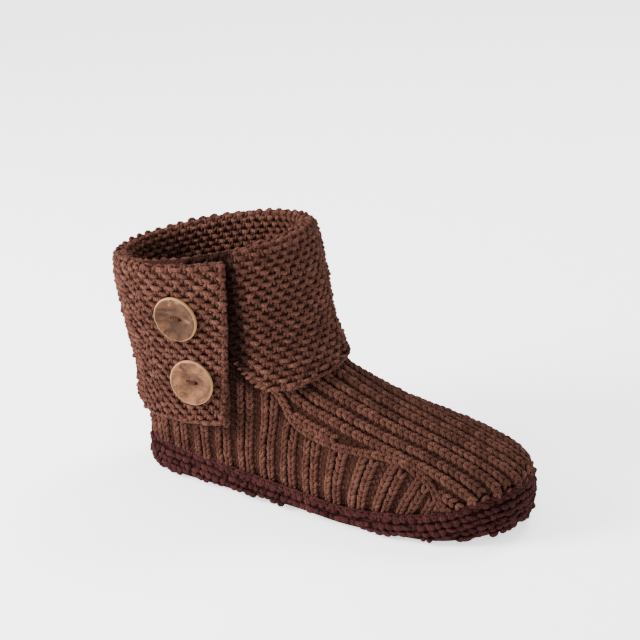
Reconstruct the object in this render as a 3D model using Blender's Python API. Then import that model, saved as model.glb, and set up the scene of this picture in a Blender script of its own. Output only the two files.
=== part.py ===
"""Knitted bootie slipper for the right foot, standing empty on its sole.

Metres, +X from heel to toe, +Y towards the inner side of the foot, +Z up.
The knitted upper is one hollow wall, a thicker darker sole closes it below,
a separate cuff wraps its shaft and overlaps itself on the outer side, and
two dished wooden buttons hold the overlap.
"""

import math

import bmesh
import bpy
import numpy as np
from mathutils import Matrix, Vector

# Sizes of the foot that it is knitted for
LENGTH = 0.256
BALL_WIDTH = 0.097
INSTEP_HEIGHT = 0.088
SHAFT_HEIGHT = 0.150

# Fabric and fit
WALL = 0.0036
CUFF_THICK = 0.0048
CLEAR = 0.0003
CUFF_EASE = 0.0008
RIM_BULGE = 0.0030
LEDGE = 0.0042
PAD = 0.0065
TOE_SPRING = 0.0050
ARCH_RISE = 0.0016
TUCK = 0.0012
RIM_HEIGHT = 0.0255
CUFF_FLARE = 0.0030
FLARE_HEIGHT = 0.0280
BLEND = 0.024

# Outline of the sole from above: half widths as shares of BALL_WIDTH
OUTLINE = (
    # place, outer, inner
    (0.00, 0.335, 0.355),
    (0.15, 0.370, 0.365),
    (0.32, 0.425, 0.345),
    (0.48, 0.485, 0.345),
    (0.62, 0.518, 0.400),
    (0.74, 0.515, 0.470),
    (0.87, 0.470, 0.500),
    (1.00, 0.390, 0.500),
)
HEEL_ROUND = 0.140
TOE_ROUND = 0.210
ROUNDNESS = 2.15
CROWN = 2.30

# Height of the foot's top line as a share of INSTEP_HEIGHT
TOP_LINE = (
    # place, height
    (0.00, 0.80),
    (0.25, 0.98),
    (0.42, 1.02),
    (0.52, 0.93),
    (0.64, 0.79),
    (0.76, 0.675),
    (0.88, 0.58),
    (1.00, 0.52),
)

# Height of the sole's raised edge, and of the foot's widest line above it,
# as shares of RIM_HEIGHT
EDGE = (
    # place, rim height, widest height
    (0.00, 0.92, 1.26),
    (0.16, 0.84, 1.26),
    (0.34, 0.61, 1.10),
    (0.52, 0.49, 0.94),
    (0.68, 0.53, 0.90),
    (0.79, 0.66, 0.98),
    (0.88, 0.85, 1.12),
    (0.95, 1.01, 1.25),
    (1.00, 1.08, 1.34),
)

# Shaft: shares of SHAFT_HEIGHT up, of LENGTH along, of BALL_WIDTH across
SHAFT = (
    # height, back, front, outer, inner
    (0.00, 0.020, 0.400, 0.300, 0.300),
    (0.20, 0.016, 0.410, 0.330, 0.330),
    (0.40, -0.006, 0.430, 0.390, 0.380),
    (0.60, -0.034, 0.446, 0.440, 0.430),
    (0.80, -0.056, 0.438, 0.475, 0.465),
    (1.00, -0.068, 0.412, 0.505, 0.495),
    (1.20, -0.076, 0.380, 0.520, 0.510),
)

# Sections of the upper, from the sole's edge to the collar: the rear height is
# a share of SHAFT_HEIGHT, the front place of LENGTH, and the front height is a
# share of INSTEP_HEIGHT and then of what the shaft has above the instep
SECTIONS = (
    # step, rear height, front place, instep share, shaft share
    (0.00, 0.160, 1.000, 0.40, 0.00),
    (0.12, 0.210, 0.985, 0.52, 0.00),
    (0.24, 0.270, 0.900, 0.61, 0.00),
    (0.36, 0.330, 0.790, 0.70, 0.00),
    (0.48, 0.400, 0.670, 0.80, 0.00),
    (0.60, 0.480, 0.555, 0.95, 0.00),
    (0.72, 0.590, 0.450, 1.00, 0.23),
    (0.86, 0.760, 0.415, 1.00, 0.73),
    (1.00, 0.915, 0.398, 1.00, 1.18),
)

# Side of the sole: offsets from its outline and lifts as shares of RIM_BULGE
RIM = (
    # offset, share of the rim's height, lift
    (-3.67, 0.00, 0.00),
    (-1.83, 0.00, 0.13),
    (-0.67, 0.10, 0.33),
    (-0.10, 0.32, 0.13),
    (0.00, 0.52, 0.00),
    (-0.20, 0.78, 0.00),
    (-0.60, 0.94, 0.00),
    (-1.00, 1.00, 0.00),
)

# Cuff: turns in degrees from the front, seen from above
CUFF_START = -114.0
CUFF_END = 292.0
STEP_FROM = 208.0
STEP_TO = 238.0

# How far the cuff's upright end leans forward at the collar, and from where
CUFF_LEAN = 11.0
LEAN_FROM = 226.0

# Lower edge of the cuff: height as a share of SHAFT_HEIGHT, and how much of
# CUFF_FLARE it stands off the foot
CUFF_EDGE = (
    # turn, height, flare
    (-120.0, 0.735, 0.00),
    (-95.0, 0.710, 0.00),
    (-72.0, 0.685, 0.10),
    (-60.0, 0.645, 0.35),
    (-51.0, 0.578, 0.60),
    (-43.0, 0.528, 0.80),
    (-32.0, 0.524, 0.95),
    (-20.0, 0.556, 1.00),
    (0.0, 0.594, 1.00),
    (30.0, 0.580, 1.00),
    (65.0, 0.480, 0.65),
    (110.0, 0.400, 0.50),
    (160.0, 0.340, 0.00),
    (205.0, 0.320, 0.00),
    (245.0, 0.325, 0.00),
    (292.0, 0.350, 0.00),
)
CAP_FROM = 240.0
CAP_TO = 244.0

# Buttons: turn round the shaft, height as a share of SHAFT_HEIGHT, lean
BUTTONS = {
    "button_upper": (271.0, 0.800, -7.0),
    "button_lower": (274.5, 0.525, -1.0),
}

# Cross-section of the cuff: up its inner face, its lower edge, up its outer face
CUFF_SIDE = (
    # share of the way up, lift, depth
    (1.00, 0.00, 0.00),
    (0.84, 0.00, 0.00),
    (0.68, 0.00, 0.00),
    (0.52, 0.00, 0.00),
    (0.36, 0.00, 0.00),
    (0.22, 0.00, 0.00),
    (0.10, 0.00, 0.00),
    (0.00, 0.25, 0.00),
    (0.00, 0.00, 0.30),
    (0.00, 0.00, 0.75),
    (0.00, 0.30, 1.00),
    (0.12, 0.00, 1.00),
    (0.33, 0.00, 1.00),
    (0.56, 0.00, 1.00),
    (0.78, 0.00, 1.00),
    (1.00, 0.00, 1.00),
)
# Cap over the open end: depth 0 on the outer face, 1 on the shaft's inside
CUFF_CAP = (
    # lift, depth
    (0.55, 0.06),
    (0.90, 0.26),
    (1.00, 0.52),
    (0.90, 0.80),
    (0.50, 1.00),
    (0.00, 0.98),
)

# Section of a button, from the middle of its face round to its back
BUTTON_SIDE = (
    # radius, thickness, dish
    (0.00, 1.00, 1.00),
    (0.30, 1.00, 0.97),
    (0.55, 1.00, 0.80),
    (0.74, 1.00, 0.42),
    (0.86, 1.00, 0.05),
    (0.94, 0.94, 0.00),
    (1.00, 0.62, 0.00),
    (0.98, 0.25, 0.00),
    (0.88, 0.00, 0.00),
    (0.00, 0.00, 0.00),
)
BUTTON_WIDTH = 0.0290
BUTTON_THICK = 0.0036
BUTTON_DISH = 0.0016
HOLE_WIDTH = 0.0024
HOLE_SPACING = 0.0060

# Counts round and along each piece
ROUND = 60
CUFF_ROUND = 90
BUTTON_ROUND = 40

COLOURS = {
    # red, green, blue, roughness
    "wool_brown": (0.115, 0.049, 0.034, 0.95),
    "wool_dark": (0.042, 0.014, 0.014, 0.95),
    "wood_marbled": (0.330, 0.190, 0.105, 0.35),
}


def table(rows, place, column):
    """A smooth curve through one column of a table of rows."""
    data = np.array(rows, dtype=float)
    steps, values = data[:, 0], data[:, column]
    slopes = np.gradient(values, steps)
    place = np.clip(np.asarray(place, dtype=float), steps[0], steps[-1])
    index = np.clip(np.searchsorted(steps, place) - 1, 0, len(steps) - 2)
    span = steps[index + 1] - steps[index]
    part = (place - steps[index]) / span
    rest = 1.0 - part
    return (
        values[index] * (1.0 + 2.0 * part) * rest**2
        + values[index + 1] * (3.0 - 2.0 * part) * part**2
        + slopes[index] * span * part * rest**2
        - slopes[index + 1] * span * rest * part**2
    )


def soft_step(value, low, high):
    """Goes smoothly from 0 at low to 1 at high."""
    part = np.clip((value - low) / (high - low), 0.0, 1.0)
    return part * part * (3.0 - 2.0 * part)


def plan_gauge(x, y, inset=0.0):
    """Below 1 inside the sole's outline seen from above, above 1 outside."""
    share = x / LENGTH
    outer = table(OUTLINE, share, 1) * BALL_WIDTH - inset
    inner = table(OUTLINE, share, 2) * BALL_WIDTH - inset
    across = np.where(y < 0.0, -y / outer, y / inner)
    heel = (HEEL_ROUND * LENGTH - x) / (HEEL_ROUND * LENGTH - inset)
    toe = (x - (1.0 - TOE_ROUND) * LENGTH) / (TOE_ROUND * LENGTH - inset)
    ends = np.maximum(np.maximum(heel, toe), 0.0)
    return (across**ROUNDNESS + ends**ROUNDNESS) ** (1.0 / ROUNDNESS)


def ground(x):
    """Underside of the sole: flat at heel and ball, arched, sprung at the toe."""
    share = x / LENGTH
    arch = soft_step(share, 0.28, 0.42) * (1.0 - soft_step(share, 0.48, 0.62))
    spring = np.clip((share - 0.80) / 0.20, 0.0, 1.2) ** 2
    return ARCH_RISE * arch + TOE_SPRING * spring


def rim_top(x):
    """Height of the seam between sole and upper."""
    return ground(x) + table(EDGE, x / LENGTH, 1) * RIM_HEIGHT


def foot_gauge(x, y, z):
    """Below 0 inside the foot part of the upper, roughly in metres."""
    share = x / LENGTH
    widest = table(EDGE, share, 2) * RIM_HEIGHT
    top = table(TOP_LINE, share, 1) * INSTEP_HEIGHT
    tuck = TUCK * (1.0 - soft_step(z, rim_top(x), widest))
    plan = plan_gauge(x, y, RIM_BULGE + tuck)
    rise = np.maximum(z - widest, 0.0) / (top - widest)
    return ((plan**CROWN + rise**CROWN) ** (1.0 / CROWN) - 1.0) * BALL_WIDTH / 2.0


def shaft_gauge(x, y, z):
    """Below 0 inside the shaft of the upper, roughly in metres."""
    share = z / SHAFT_HEIGHT
    back = table(SHAFT, share, 1) * LENGTH
    front = table(SHAFT, share, 2) * LENGTH
    outer = table(SHAFT, share, 3) * BALL_WIDTH
    inner = table(SHAFT, share, 4) * BALL_WIDTH
    along = (x - (back + front) / 2.0) / ((front - back) / 2.0)
    across = np.where(y < 0.0, -y / outer, y / inner)
    return (np.sqrt(along**2 + across**2) - 1.0) * BALL_WIDTH / 2.0


def upper_gauge(x, y, z):
    """Foot and shaft joined by a soft curve over the instep."""
    foot = foot_gauge(x, y, z)
    shaft = shaft_gauge(x, y, z)
    part = np.clip(0.5 + 0.5 * (shaft - foot) / BLEND, 0.0, 1.0)
    return shaft + (foot - shaft) * part - BLEND * part * (1.0 - part)


def reach(gauge, start, heading, longest):
    """How far along each heading the gauge first passes 0."""
    low = np.zeros(len(heading))
    high = np.full(len(heading), longest)
    for _ in range(44):
        middle = (low + high) / 2.0
        spot = start + heading * middle[:, None]
        inside = gauge(spot) < 0.0
        low = np.where(inside, middle, low)
        high = np.where(inside, high, middle)
    return low


def outline_ring(turns, offset):
    """Points round the sole's outline, moved outwards by an offset."""
    middle = np.array([LENGTH / 2.0, 0.0])
    wide = np.array([LENGTH / 2.0, BALL_WIDTH / 2.0])

    def ring(angles):
        heading = np.stack([np.cos(angles), np.sin(angles)], 1) * wide

        def gauge(spot):
            return plan_gauge(spot[:, 0], spot[:, 1]) - 1.0

        return middle + heading * reach(gauge, middle, heading, 3.0)[:, None]

    along = ring(turns + 0.01) - ring(turns - 0.01)
    along /= np.linalg.norm(along, axis=1)[:, None]
    outwards = np.stack([along[:, 1], -along[:, 0]], 1)
    return ring(turns) + outwards * offset


def section_ends(step):
    """Rear height, front place and front height of one section."""
    rear_height = table(SECTIONS, step, 1) * SHAFT_HEIGHT
    front = table(SECTIONS, step, 2) * LENGTH
    above = SHAFT_HEIGHT - INSTEP_HEIGHT
    front_height = table(SECTIONS, step, 3) * INSTEP_HEIGHT + table(SECTIONS, step, 4) * above
    return rear_height, front, front_height


def upper_ring(turns, step):
    """Points round the upper on one of its sections."""
    rear_height, front, front_height = section_ends(step)
    low = 1.0 - soft_step(step, 0.0, 0.30)
    middle = np.array([front / 2.0, 0.0])
    heading = np.stack([np.cos(turns), np.sin(turns)], 1)
    heading *= np.array([front / 2.0, BALL_WIDTH / 2.0])

    def height(x):
        level = rear_height + (front_height - rear_height) * x / front
        return level * (1.0 - low) + (rim_top(x) + CLEAR) * low

    def gauge(spot):
        return upper_gauge(spot[:, 0], spot[:, 1], height(spot[:, 0]))

    ring = middle + heading * reach(gauge, middle, heading, 3.0)[:, None]
    return np.stack([ring[:, 0], ring[:, 1], height(ring[:, 0])], 1)


def shaft_axis(z):
    """Middle of the shaft at a height."""
    share = z / SHAFT_HEIGHT
    return (table(SHAFT, share, 1) + table(SHAFT, share, 2)) / 2.0 * LENGTH


def shaft_point(turn, z, offset):
    """Point at a turn round the shaft, a given way out from its wall."""
    angle = np.radians(turn)
    start = np.stack([shaft_axis(z), z * 0.0], 1)
    heading = np.stack([np.cos(angle), np.sin(angle)], 1)

    def gauge(spot):
        return upper_gauge(spot[:, 0], spot[:, 1], z)

    out = reach(gauge, start, heading, LENGTH) + offset
    spot = start + heading * out[:, None]
    return np.stack([spot[:, 0], spot[:, 1], z], 1)


def cuff_layer(turn, z):
    """How far the cuff lies off the shaft: it steps out over its own start."""
    step = soft_step(turn, STEP_FROM, STEP_TO)
    edge = table(CUFF_EDGE, turn, 1) * SHAFT_HEIGHT
    near = 1.0 - soft_step(z, edge, edge + FLARE_HEIGHT)
    flare = table(CUFF_EDGE, turn, 2) * CUFF_FLARE * near
    return CUFF_EASE + step * (CUFF_THICK + 2.0 * CLEAR) + flare


def collar_top(x):
    """Height of the upper's open end."""
    rear_height, front, front_height = section_ends(1.0)
    return rear_height + (front_height - rear_height) * x / front


def collar_at(turn):
    """Height of the upper's open end at a turn round the shaft."""
    z = turn * 0.0 + SHAFT_HEIGHT
    for _ in range(4):
        z = collar_top(shaft_point(turn, z, turn * 0.0)[:, 0])
    return z


def cuff_point(turn, z, depth):
    """Point of the cuff: depth 0 on its inner face, 1 on its outer face."""
    return shaft_point(turn, z, cuff_layer(turn, z) + depth * CUFF_THICK)


def leaned(turn, z):
    """Turns with the cuff's upright end leaning forward towards the collar."""
    foot = table(CUFF_EDGE, CUFF_END, 1) * SHAFT_HEIGHT
    rise = np.clip((z - foot) / (SHAFT_HEIGHT - foot), 0.0, 1.1)
    return turn + CUFF_LEAN * soft_step(turn, LEAN_FROM, CUFF_END) * rise


def material(name):
    """A plain material with its own colour and roughness."""
    red, green, blue, rough = COLOURS[name]
    made = bpy.data.materials.new(name)
    made.use_nodes = True
    shader = made.node_tree.nodes["Principled BSDF"]
    shader.inputs["Base Color"].default_value = (red, green, blue, 1.0)
    shader.inputs["Roughness"].default_value = rough
    shader.inputs["Metallic"].default_value = 0.0
    return made


def finish(name, bm, slot):
    """Closes a mesh, turns its faces outwards and adds it to the scene."""
    bmesh.ops.remove_doubles(bm, verts=bm.verts, dist=0.00002)
    bmesh.ops.recalc_face_normals(bm, faces=bm.faces)
    mesh = bpy.data.meshes.new(name)
    bm.to_mesh(mesh)
    bm.free()
    made = bpy.data.objects.new(name, mesh)
    bpy.context.scene.collection.objects.link(made)
    made.data.materials.append(slot)
    for face in made.data.polygons:
        face.use_smooth = True
    return made


def mapped_grid(bm, columns, rows, place):
    """A grid whose corners go where place(across, up) puts them."""
    made = bmesh.ops.create_grid(bm, x_segments=columns, y_segments=rows, size=0.5)
    corners = made["verts"]
    shares = np.array([(v.co.x + 0.5, v.co.y + 0.5) for v in corners])
    points = place(shares[:, 0], shares[:, 1])
    for corner, point in zip(corners, points):
        corner.co = Vector(point)


def make_sole(slot):
    """Sole: pad with raised edge, round side and arched underside."""
    turns = np.linspace(0.0, 2.0 * math.pi, ROUND, endpoint=False)
    profile = []
    for offset, share, lift in RIM:
        ring = outline_ring(turns, offset * RIM_BULGE)
        x = ring[:, 0]
        z = ground(x) + (rim_top(x) - ground(x)) * share + lift * RIM_BULGE
        profile.append(np.column_stack([ring, z]))
    ledge = outline_ring(turns, -RIM_BULGE - LEDGE)
    x = ledge[:, 0]
    profile.append(np.column_stack([ledge, rim_top(x)]))
    inside = outline_ring(turns, -RIM_BULGE - LEDGE - CLEAR)
    x = inside[:, 0]
    profile.append(np.column_stack([inside, ground(x) + PAD]))

    def towards_middle(ring, share):
        even = LENGTH / 2.0 * (1.0 + np.cos(turns))
        spine = np.clip(even, HEEL_ROUND * LENGTH, (1.0 - TOE_ROUND) * LENGTH)
        flat = np.column_stack([spine, ring[:, 1] * 0.0])
        return flat * share + ring[:, :2] * (1.0 - share)

    first = profile[0]
    last = profile[-1]
    for share in (0.5, 1.0):
        flat = towards_middle(first, share)
        profile.insert(0, np.column_stack([flat, ground(flat[:, 0])]))
    for share in (0.5, 1.0):
        flat = towards_middle(last, share)
        profile.append(np.column_stack([flat, ground(flat[:, 0]) + PAD]))
    rows = len(profile) - 1
    stack = np.array(profile)

    def place(across, up):
        turn = np.rint(across * ROUND).astype(int) % ROUND
        row = np.rint(up * rows).astype(int)
        return stack[row, turn]

    bm = bmesh.new()
    mapped_grid(bm, ROUND, rows, place)
    return finish("sole", bm, slot)


def wall_inside(outside):
    """Inner face of the upper's wall, level with the outer one at both ends."""
    round_it = np.roll(outside, -1, axis=1) - np.roll(outside, 1, axis=1)
    up_it = np.gradient(outside, axis=0)
    facing = np.cross(round_it, up_it)
    for end in (0, -1):
        facing[end, :, 2] = 0.0
    facing /= np.linalg.norm(facing, axis=2, keepdims=True)
    return outside - facing * WALL


def make_upper(slot):
    """Upper: one knitted wall from the sole's edge to the collar."""
    turns = np.linspace(0.0, 2.0 * math.pi, ROUND, endpoint=False)
    steps = np.array([0, 0.03, 0.07, 0.12, 0.18, 0.24, 0.30, 0.36, 0.42, 0.48, 0.54, 0.60,
                      0.66, 0.72, 0.79, 0.86, 0.93, 1.0])
    outside = np.array([upper_ring(turns, step) for step in steps])
    stack = np.concatenate([outside, wall_inside(outside)[::-1]])
    rows = len(stack)

    def place(across, up):
        turn = np.rint(across * ROUND).astype(int) % ROUND
        row = np.rint(up * rows).astype(int) % rows
        return stack[row, turn]

    bm = bmesh.new()
    mapped_grid(bm, ROUND, rows, place)
    return finish("upper", bm, slot)


def make_cuff(slot):
    """Cuff: one knitted band that caps the shaft and overlaps its own start."""
    turns = np.linspace(CUFF_START, CUFF_END, CUFF_ROUND + 1)
    low = table(CUFF_EDGE, turns, 1) * SHAFT_HEIGHT
    seat = collar_at(turns) + CLEAR
    cap = 1.0 - soft_step(turns, CAP_FROM, CAP_TO)
    rings = []
    for share, lift, depth in CUFF_SIDE:
        z = low + (seat - low) * share + CUFF_THICK * lift
        rings.append(cuff_point(leaned(turns, z), z, depth))
    for lift, depth in CUFF_CAP:
        z = seat + CUFF_THICK * lift
        layer = cuff_layer(turns, z)
        out = (layer + CUFF_THICK) * (1.0 - depth) + (layer - (layer + WALL) * cap) * depth
        rings.append(shaft_point(leaned(turns, z), z, out))
    stack = np.array(rings)
    rows = len(rings)

    def place(across, up):
        turn = np.rint(across * CUFF_ROUND).astype(int)
        row = np.rint(up * rows).astype(int) % rows
        return stack[row, turn]

    bm = bmesh.new()
    mapped_grid(bm, CUFF_ROUND, rows, place)
    bmesh.ops.remove_doubles(bm, verts=bm.verts, dist=0.00002)
    open_edges = [edge for edge in bm.edges if edge.is_boundary]
    bmesh.ops.holes_fill(bm, edges=open_edges, sides=0)
    return finish("cuff", bm, slot)


def button_seat(turn, height, lean):
    """Place and facing of a button, clear of the curved cuff behind it."""
    z = height * SHAFT_HEIGHT
    near = np.array([turn, turn + 2.0, turn - 2.0])
    level = cuff_point(near, near * 0.0 + z, 1.0)
    along = Vector(level[1] - level[2]).normalized()
    facing = along.cross(Vector((0.0, 0.0, 1.0))).normalized()
    tilt = math.radians(lean)
    facing = (facing * math.cos(tilt) + Vector((0.0, 0.0, math.sin(tilt)))).normalized()
    upward = facing.cross(along).normalized()
    middle = Vector(level[0])
    spread = np.linspace(-1.0, 1.0, 17)
    across, up = [grid.ravel() for grid in np.meshgrid(spread, spread)]
    sweep = math.degrees(BUTTON_WIDTH / BALL_WIDTH)
    around = cuff_point(turn + across * sweep, z + up * BUTTON_WIDTH / 2.0, 1.0)
    off = around - np.array(middle)
    side = off @ np.array(along)
    rise = off @ np.array(upward)
    under = np.hypot(side, rise) < BUTTON_WIDTH * 0.44
    stand_off = float((off @ np.array(facing))[under].max()) + CLEAR
    turned = Matrix((along, upward, facing)).transposed().to_4x4()
    return Matrix.Translation(middle + facing * stand_off) @ turned


def make_button(name, slot):
    """Button: a dished wooden disc with two holes for its thread."""
    rows = len(BUTTON_SIDE) - 1

    def place(across, up):
        angle = across * 2.0 * math.pi
        row = np.rint(up * rows).astype(int)
        side = np.array(BUTTON_SIDE)[row]
        radius = side[:, 0] * BUTTON_WIDTH / 2.0
        depth = side[:, 1] * BUTTON_THICK - side[:, 2] * BUTTON_DISH
        return np.stack([radius * np.cos(angle), radius * np.sin(angle), depth], 1)

    bm = bmesh.new()
    mapped_grid(bm, BUTTON_ROUND, rows, place)
    made = finish(name, bm, slot)
    bm = bmesh.new()
    for side in (-1.0, 1.0):
        bmesh.ops.create_cone(
            bm,
            cap_ends=True,
            segments=16,
            radius1=HOLE_WIDTH / 2.0,
            radius2=HOLE_WIDTH / 2.0,
            depth=BUTTON_THICK * 3.0,
            matrix=Matrix.Translation((side * HOLE_SPACING / 2.0, 0.0, 0.0)),
        )
    drill = finish(name + "_drill", bm, slot)
    drill.hide_render = True
    drill.display_type = "WIRE"
    cut = made.modifiers.new("holes", "BOOLEAN")
    cut.operation = "DIFFERENCE"
    cut.solver = "EXACT"
    cut.object = drill
    seat = button_seat(*BUTTONS[name])
    made.matrix_world = seat
    drill.matrix_world = seat
    return made


def stand_over_origin(pieces):
    """Moves the whole part so that its footprint is centred on the origin."""
    bpy.context.view_layer.update()
    shown = [piece for piece in pieces if not piece.hide_render]
    spots = np.array([piece.matrix_world @ v.co for piece in shown for v in piece.data.vertices])
    middle = (spots.min(axis=0) + spots.max(axis=0)) / 2.0
    shift = Vector((-middle[0], -middle[1], -spots[:, 2].min()))
    for piece in pieces:
        piece.location = piece.location + shift


def main():
    """Builds every piece and sets the whole part over the origin."""
    for old in list(bpy.data.objects):
        bpy.data.objects.remove(old, do_unlink=True)
    brown = material("wool_brown")
    dark = material("wool_dark")
    wood = material("wood_marbled")
    make_sole(dark)
    make_upper(brown)
    make_cuff(brown)
    for name in BUTTONS:
        make_button(name, wood)
    stand_over_origin(list(bpy.data.objects))


if __name__ == "__main__":
    main()
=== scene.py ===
"""Knitted bootie slipper for the right foot, dressed stitch by stitch.

Every stitch is a small tapered strand of yarn that is set on the surface of
the foot, shaft, cuff or sole. The walls behind the stitches take the places
of the plain solids, and the wooden buttons are turned afresh.
"""

import math

import bmesh
import bpy
import numpy as np
from bpy.props import FloatProperty, FloatVectorProperty, IntProperty, PointerProperty
from bpy.types import Operator, Panel, PropertyGroup
from mathutils import Matrix, Vector


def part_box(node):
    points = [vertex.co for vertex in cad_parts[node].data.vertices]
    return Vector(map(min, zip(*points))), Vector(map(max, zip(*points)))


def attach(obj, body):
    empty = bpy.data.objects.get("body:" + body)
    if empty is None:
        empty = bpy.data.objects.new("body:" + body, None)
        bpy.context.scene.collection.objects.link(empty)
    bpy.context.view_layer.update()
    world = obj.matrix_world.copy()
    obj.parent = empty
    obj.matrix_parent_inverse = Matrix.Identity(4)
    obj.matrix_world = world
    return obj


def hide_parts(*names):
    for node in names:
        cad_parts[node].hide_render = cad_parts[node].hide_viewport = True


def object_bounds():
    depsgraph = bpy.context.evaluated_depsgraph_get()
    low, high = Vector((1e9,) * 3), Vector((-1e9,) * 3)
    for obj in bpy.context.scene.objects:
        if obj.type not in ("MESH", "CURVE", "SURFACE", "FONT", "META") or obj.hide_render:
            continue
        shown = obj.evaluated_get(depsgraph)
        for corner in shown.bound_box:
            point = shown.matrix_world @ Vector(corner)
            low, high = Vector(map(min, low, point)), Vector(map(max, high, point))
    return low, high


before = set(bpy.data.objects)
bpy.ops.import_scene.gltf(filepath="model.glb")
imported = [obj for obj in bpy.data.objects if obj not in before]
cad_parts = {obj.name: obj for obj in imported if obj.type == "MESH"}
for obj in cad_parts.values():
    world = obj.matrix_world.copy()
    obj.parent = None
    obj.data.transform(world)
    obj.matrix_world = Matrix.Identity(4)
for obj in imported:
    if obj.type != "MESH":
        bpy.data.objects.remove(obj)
cad_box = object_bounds()

bl_info = {
    "name": "Knitted Bootie Slipper",
    "version": (1, 0, 0),
    "blender": (4, 5, 0),
    "location": "3D View > Sidebar > Bootie",
    "description": "Knits a bootie slipper over its plain frame",
    "category": "Add Mesh",
}

# Sizes of the foot that it is knitted for
LENGTH = 0.256
BALL_WIDTH = 0.097
INSTEP_HEIGHT = 0.088
SHAFT_HEIGHT = 0.150

# Fabric and fit
WALL = 0.0036
CUFF_THICK = 0.0048
CLEAR = 0.0003
CUFF_EASE = 0.0008
RIM_BULGE = 0.0030
LEDGE = 0.0042
PAD = 0.0065
TOE_SPRING = 0.0050
ARCH_RISE = 0.0016
TUCK = 0.0012
RIM_HEIGHT = 0.0255
CUFF_FLARE = 0.0030
FLARE_HEIGHT = 0.0280
BLEND = 0.024

# Step at which the surface's slope is felt
NEARBY = 0.0003

# How far the fabric lies inside the plain shape, so that the crowns of its
# stitches come level with it
SINK = 0.0015
CUFF_SINK = 0.0002
SOLE_SINK = 0.0008

# How many sides the frame's own sole has round its outline
FRAME_TURNS = 60

# Columns round the walls behind the stitches
WALL_COLUMNS = 168

# Unevenness of hand knitting: tilt, metres outwards and sideways, share of size
SWAY = 0.055
LIFT_SPREAD = 0.00012
SIDE_SPREAD = 0.00014
SIZE_SPREAD = 0.045

# What each spot tells the stitch that is set on it
CARRIED = ("facing", "along", "size")

# Limits of the side ribs, in metres: how far they climb, how they keep under
# the ridge and, at the rear, tuck under the cuff, and how far forward they go
SIDE_CLIMB = 0.105
SIDE_UNDER = -0.0022
SIDE_TUCK = 0.010
SIDE_REAR = 0.108
SIDE_TO = 0.222

# Limits of the instep panel, in metres, and its lap over the seam at the toe
PANEL_REACH = 0.072
PANEL_ABOVE = 0.0016
PANEL_TUCK = 0.012
PANEL_FROM = 0.090
PANEL_LAP = 0.0020

# Rows of bumps under the sole, in metres: margins at heel and toe, and sides
UNDER_HEEL = 0.012
UNDER_TOE = 0.006
UNDER_SIDES = (-0.050, 0.052)

# Camera, as fitted to the photograph: side, focal length and aim in pixels of
# the picture, turn and rise in degrees, distance and height aimed at in metres
PHOTO_SIDE = 640.0
PHOTO_FOCAL = 2200.0
PHOTO_AIM = (336.0, 400.0)
SENSOR_WIDTH = 36.0
CAMERA_TURN = 27.0
CAMERA_RISE = 24.0
CAMERA_FAR = 1.350
CAMERA_AIM = 0.060

# Studio: lamps, world and floor
LAMPS = {
    # place, size, power, colour
    "key_lamp": ((-0.86, -0.70, 0.58), 0.6, 53.0, (1.0, 0.975, 0.95)),
    "top_lamp": ((0.15, 0.95, 1.25), 0.7, 22.0, (1.0, 0.99, 0.98)),
    "side_lamp": ((1.20, -0.70, 0.70), 0.9, 4.0, (0.96, 0.98, 1.0)),
}
LAMP_AIM = (0.0, 0.0, 0.05)
WORLD_COLOUR = (0.96, 0.98, 1.0, 1.0)
WORLD_STRENGTH = 1.46
FLOOR_GLOW = 1.4
FLOOR_HALF = 7.0

# Outline of the sole from above: half widths as shares of BALL_WIDTH
OUTLINE = (
    # place, outer, inner
    (0.00, 0.335, 0.355),
    (0.15, 0.370, 0.365),
    (0.32, 0.425, 0.345),
    (0.48, 0.485, 0.345),
    (0.62, 0.518, 0.400),
    (0.74, 0.515, 0.470),
    (0.87, 0.470, 0.500),
    (1.00, 0.390, 0.500),
)
HEEL_ROUND = 0.140
TOE_ROUND = 0.210
ROUNDNESS = 2.15
CROWN = 2.30

# Height of the foot's top line as a share of INSTEP_HEIGHT
TOP_LINE = (
    # place, height
    (0.00, 0.80),
    (0.25, 0.98),
    (0.42, 1.02),
    (0.52, 0.93),
    (0.64, 0.79),
    (0.76, 0.675),
    (0.88, 0.58),
    (1.00, 0.52),
)

# Height of the sole's raised edge, and of the foot's widest line above it,
# as shares of RIM_HEIGHT
EDGE = (
    # place, rim height, widest height
    (0.00, 0.92, 1.26),
    (0.16, 0.84, 1.26),
    (0.34, 0.61, 1.10),
    (0.52, 0.49, 0.94),
    (0.68, 0.53, 0.90),
    (0.79, 0.66, 0.98),
    (0.88, 0.85, 1.12),
    (0.95, 1.01, 1.25),
    (1.00, 1.08, 1.34),
)

# Shaft: shares of SHAFT_HEIGHT up, of LENGTH along, of BALL_WIDTH across
SHAFT = (
    # height, back, front, outer, inner
    (0.00, 0.020, 0.400, 0.300, 0.300),
    (0.20, 0.016, 0.410, 0.330, 0.330),
    (0.40, -0.006, 0.430, 0.390, 0.380),
    (0.60, -0.034, 0.446, 0.440, 0.430),
    (0.80, -0.056, 0.438, 0.475, 0.465),
    (1.00, -0.068, 0.412, 0.505, 0.495),
    (1.20, -0.076, 0.380, 0.520, 0.510),
)

# Sections of the upper from the sole's edge to the collar
SECTIONS = (
    # step, rear height, front place, instep share, shaft share
    (0.00, 0.160, 1.000, 0.40, 0.00),
    (0.12, 0.210, 0.985, 0.52, 0.00),
    (0.24, 0.270, 0.900, 0.61, 0.00),
    (0.36, 0.330, 0.790, 0.70, 0.00),
    (0.48, 0.400, 0.670, 0.80, 0.00),
    (0.60, 0.480, 0.555, 0.95, 0.00),
    (0.72, 0.590, 0.450, 1.00, 0.23),
    (0.86, 0.760, 0.415, 1.00, 0.73),
    (1.00, 0.915, 0.398, 1.00, 1.18),
)

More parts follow.
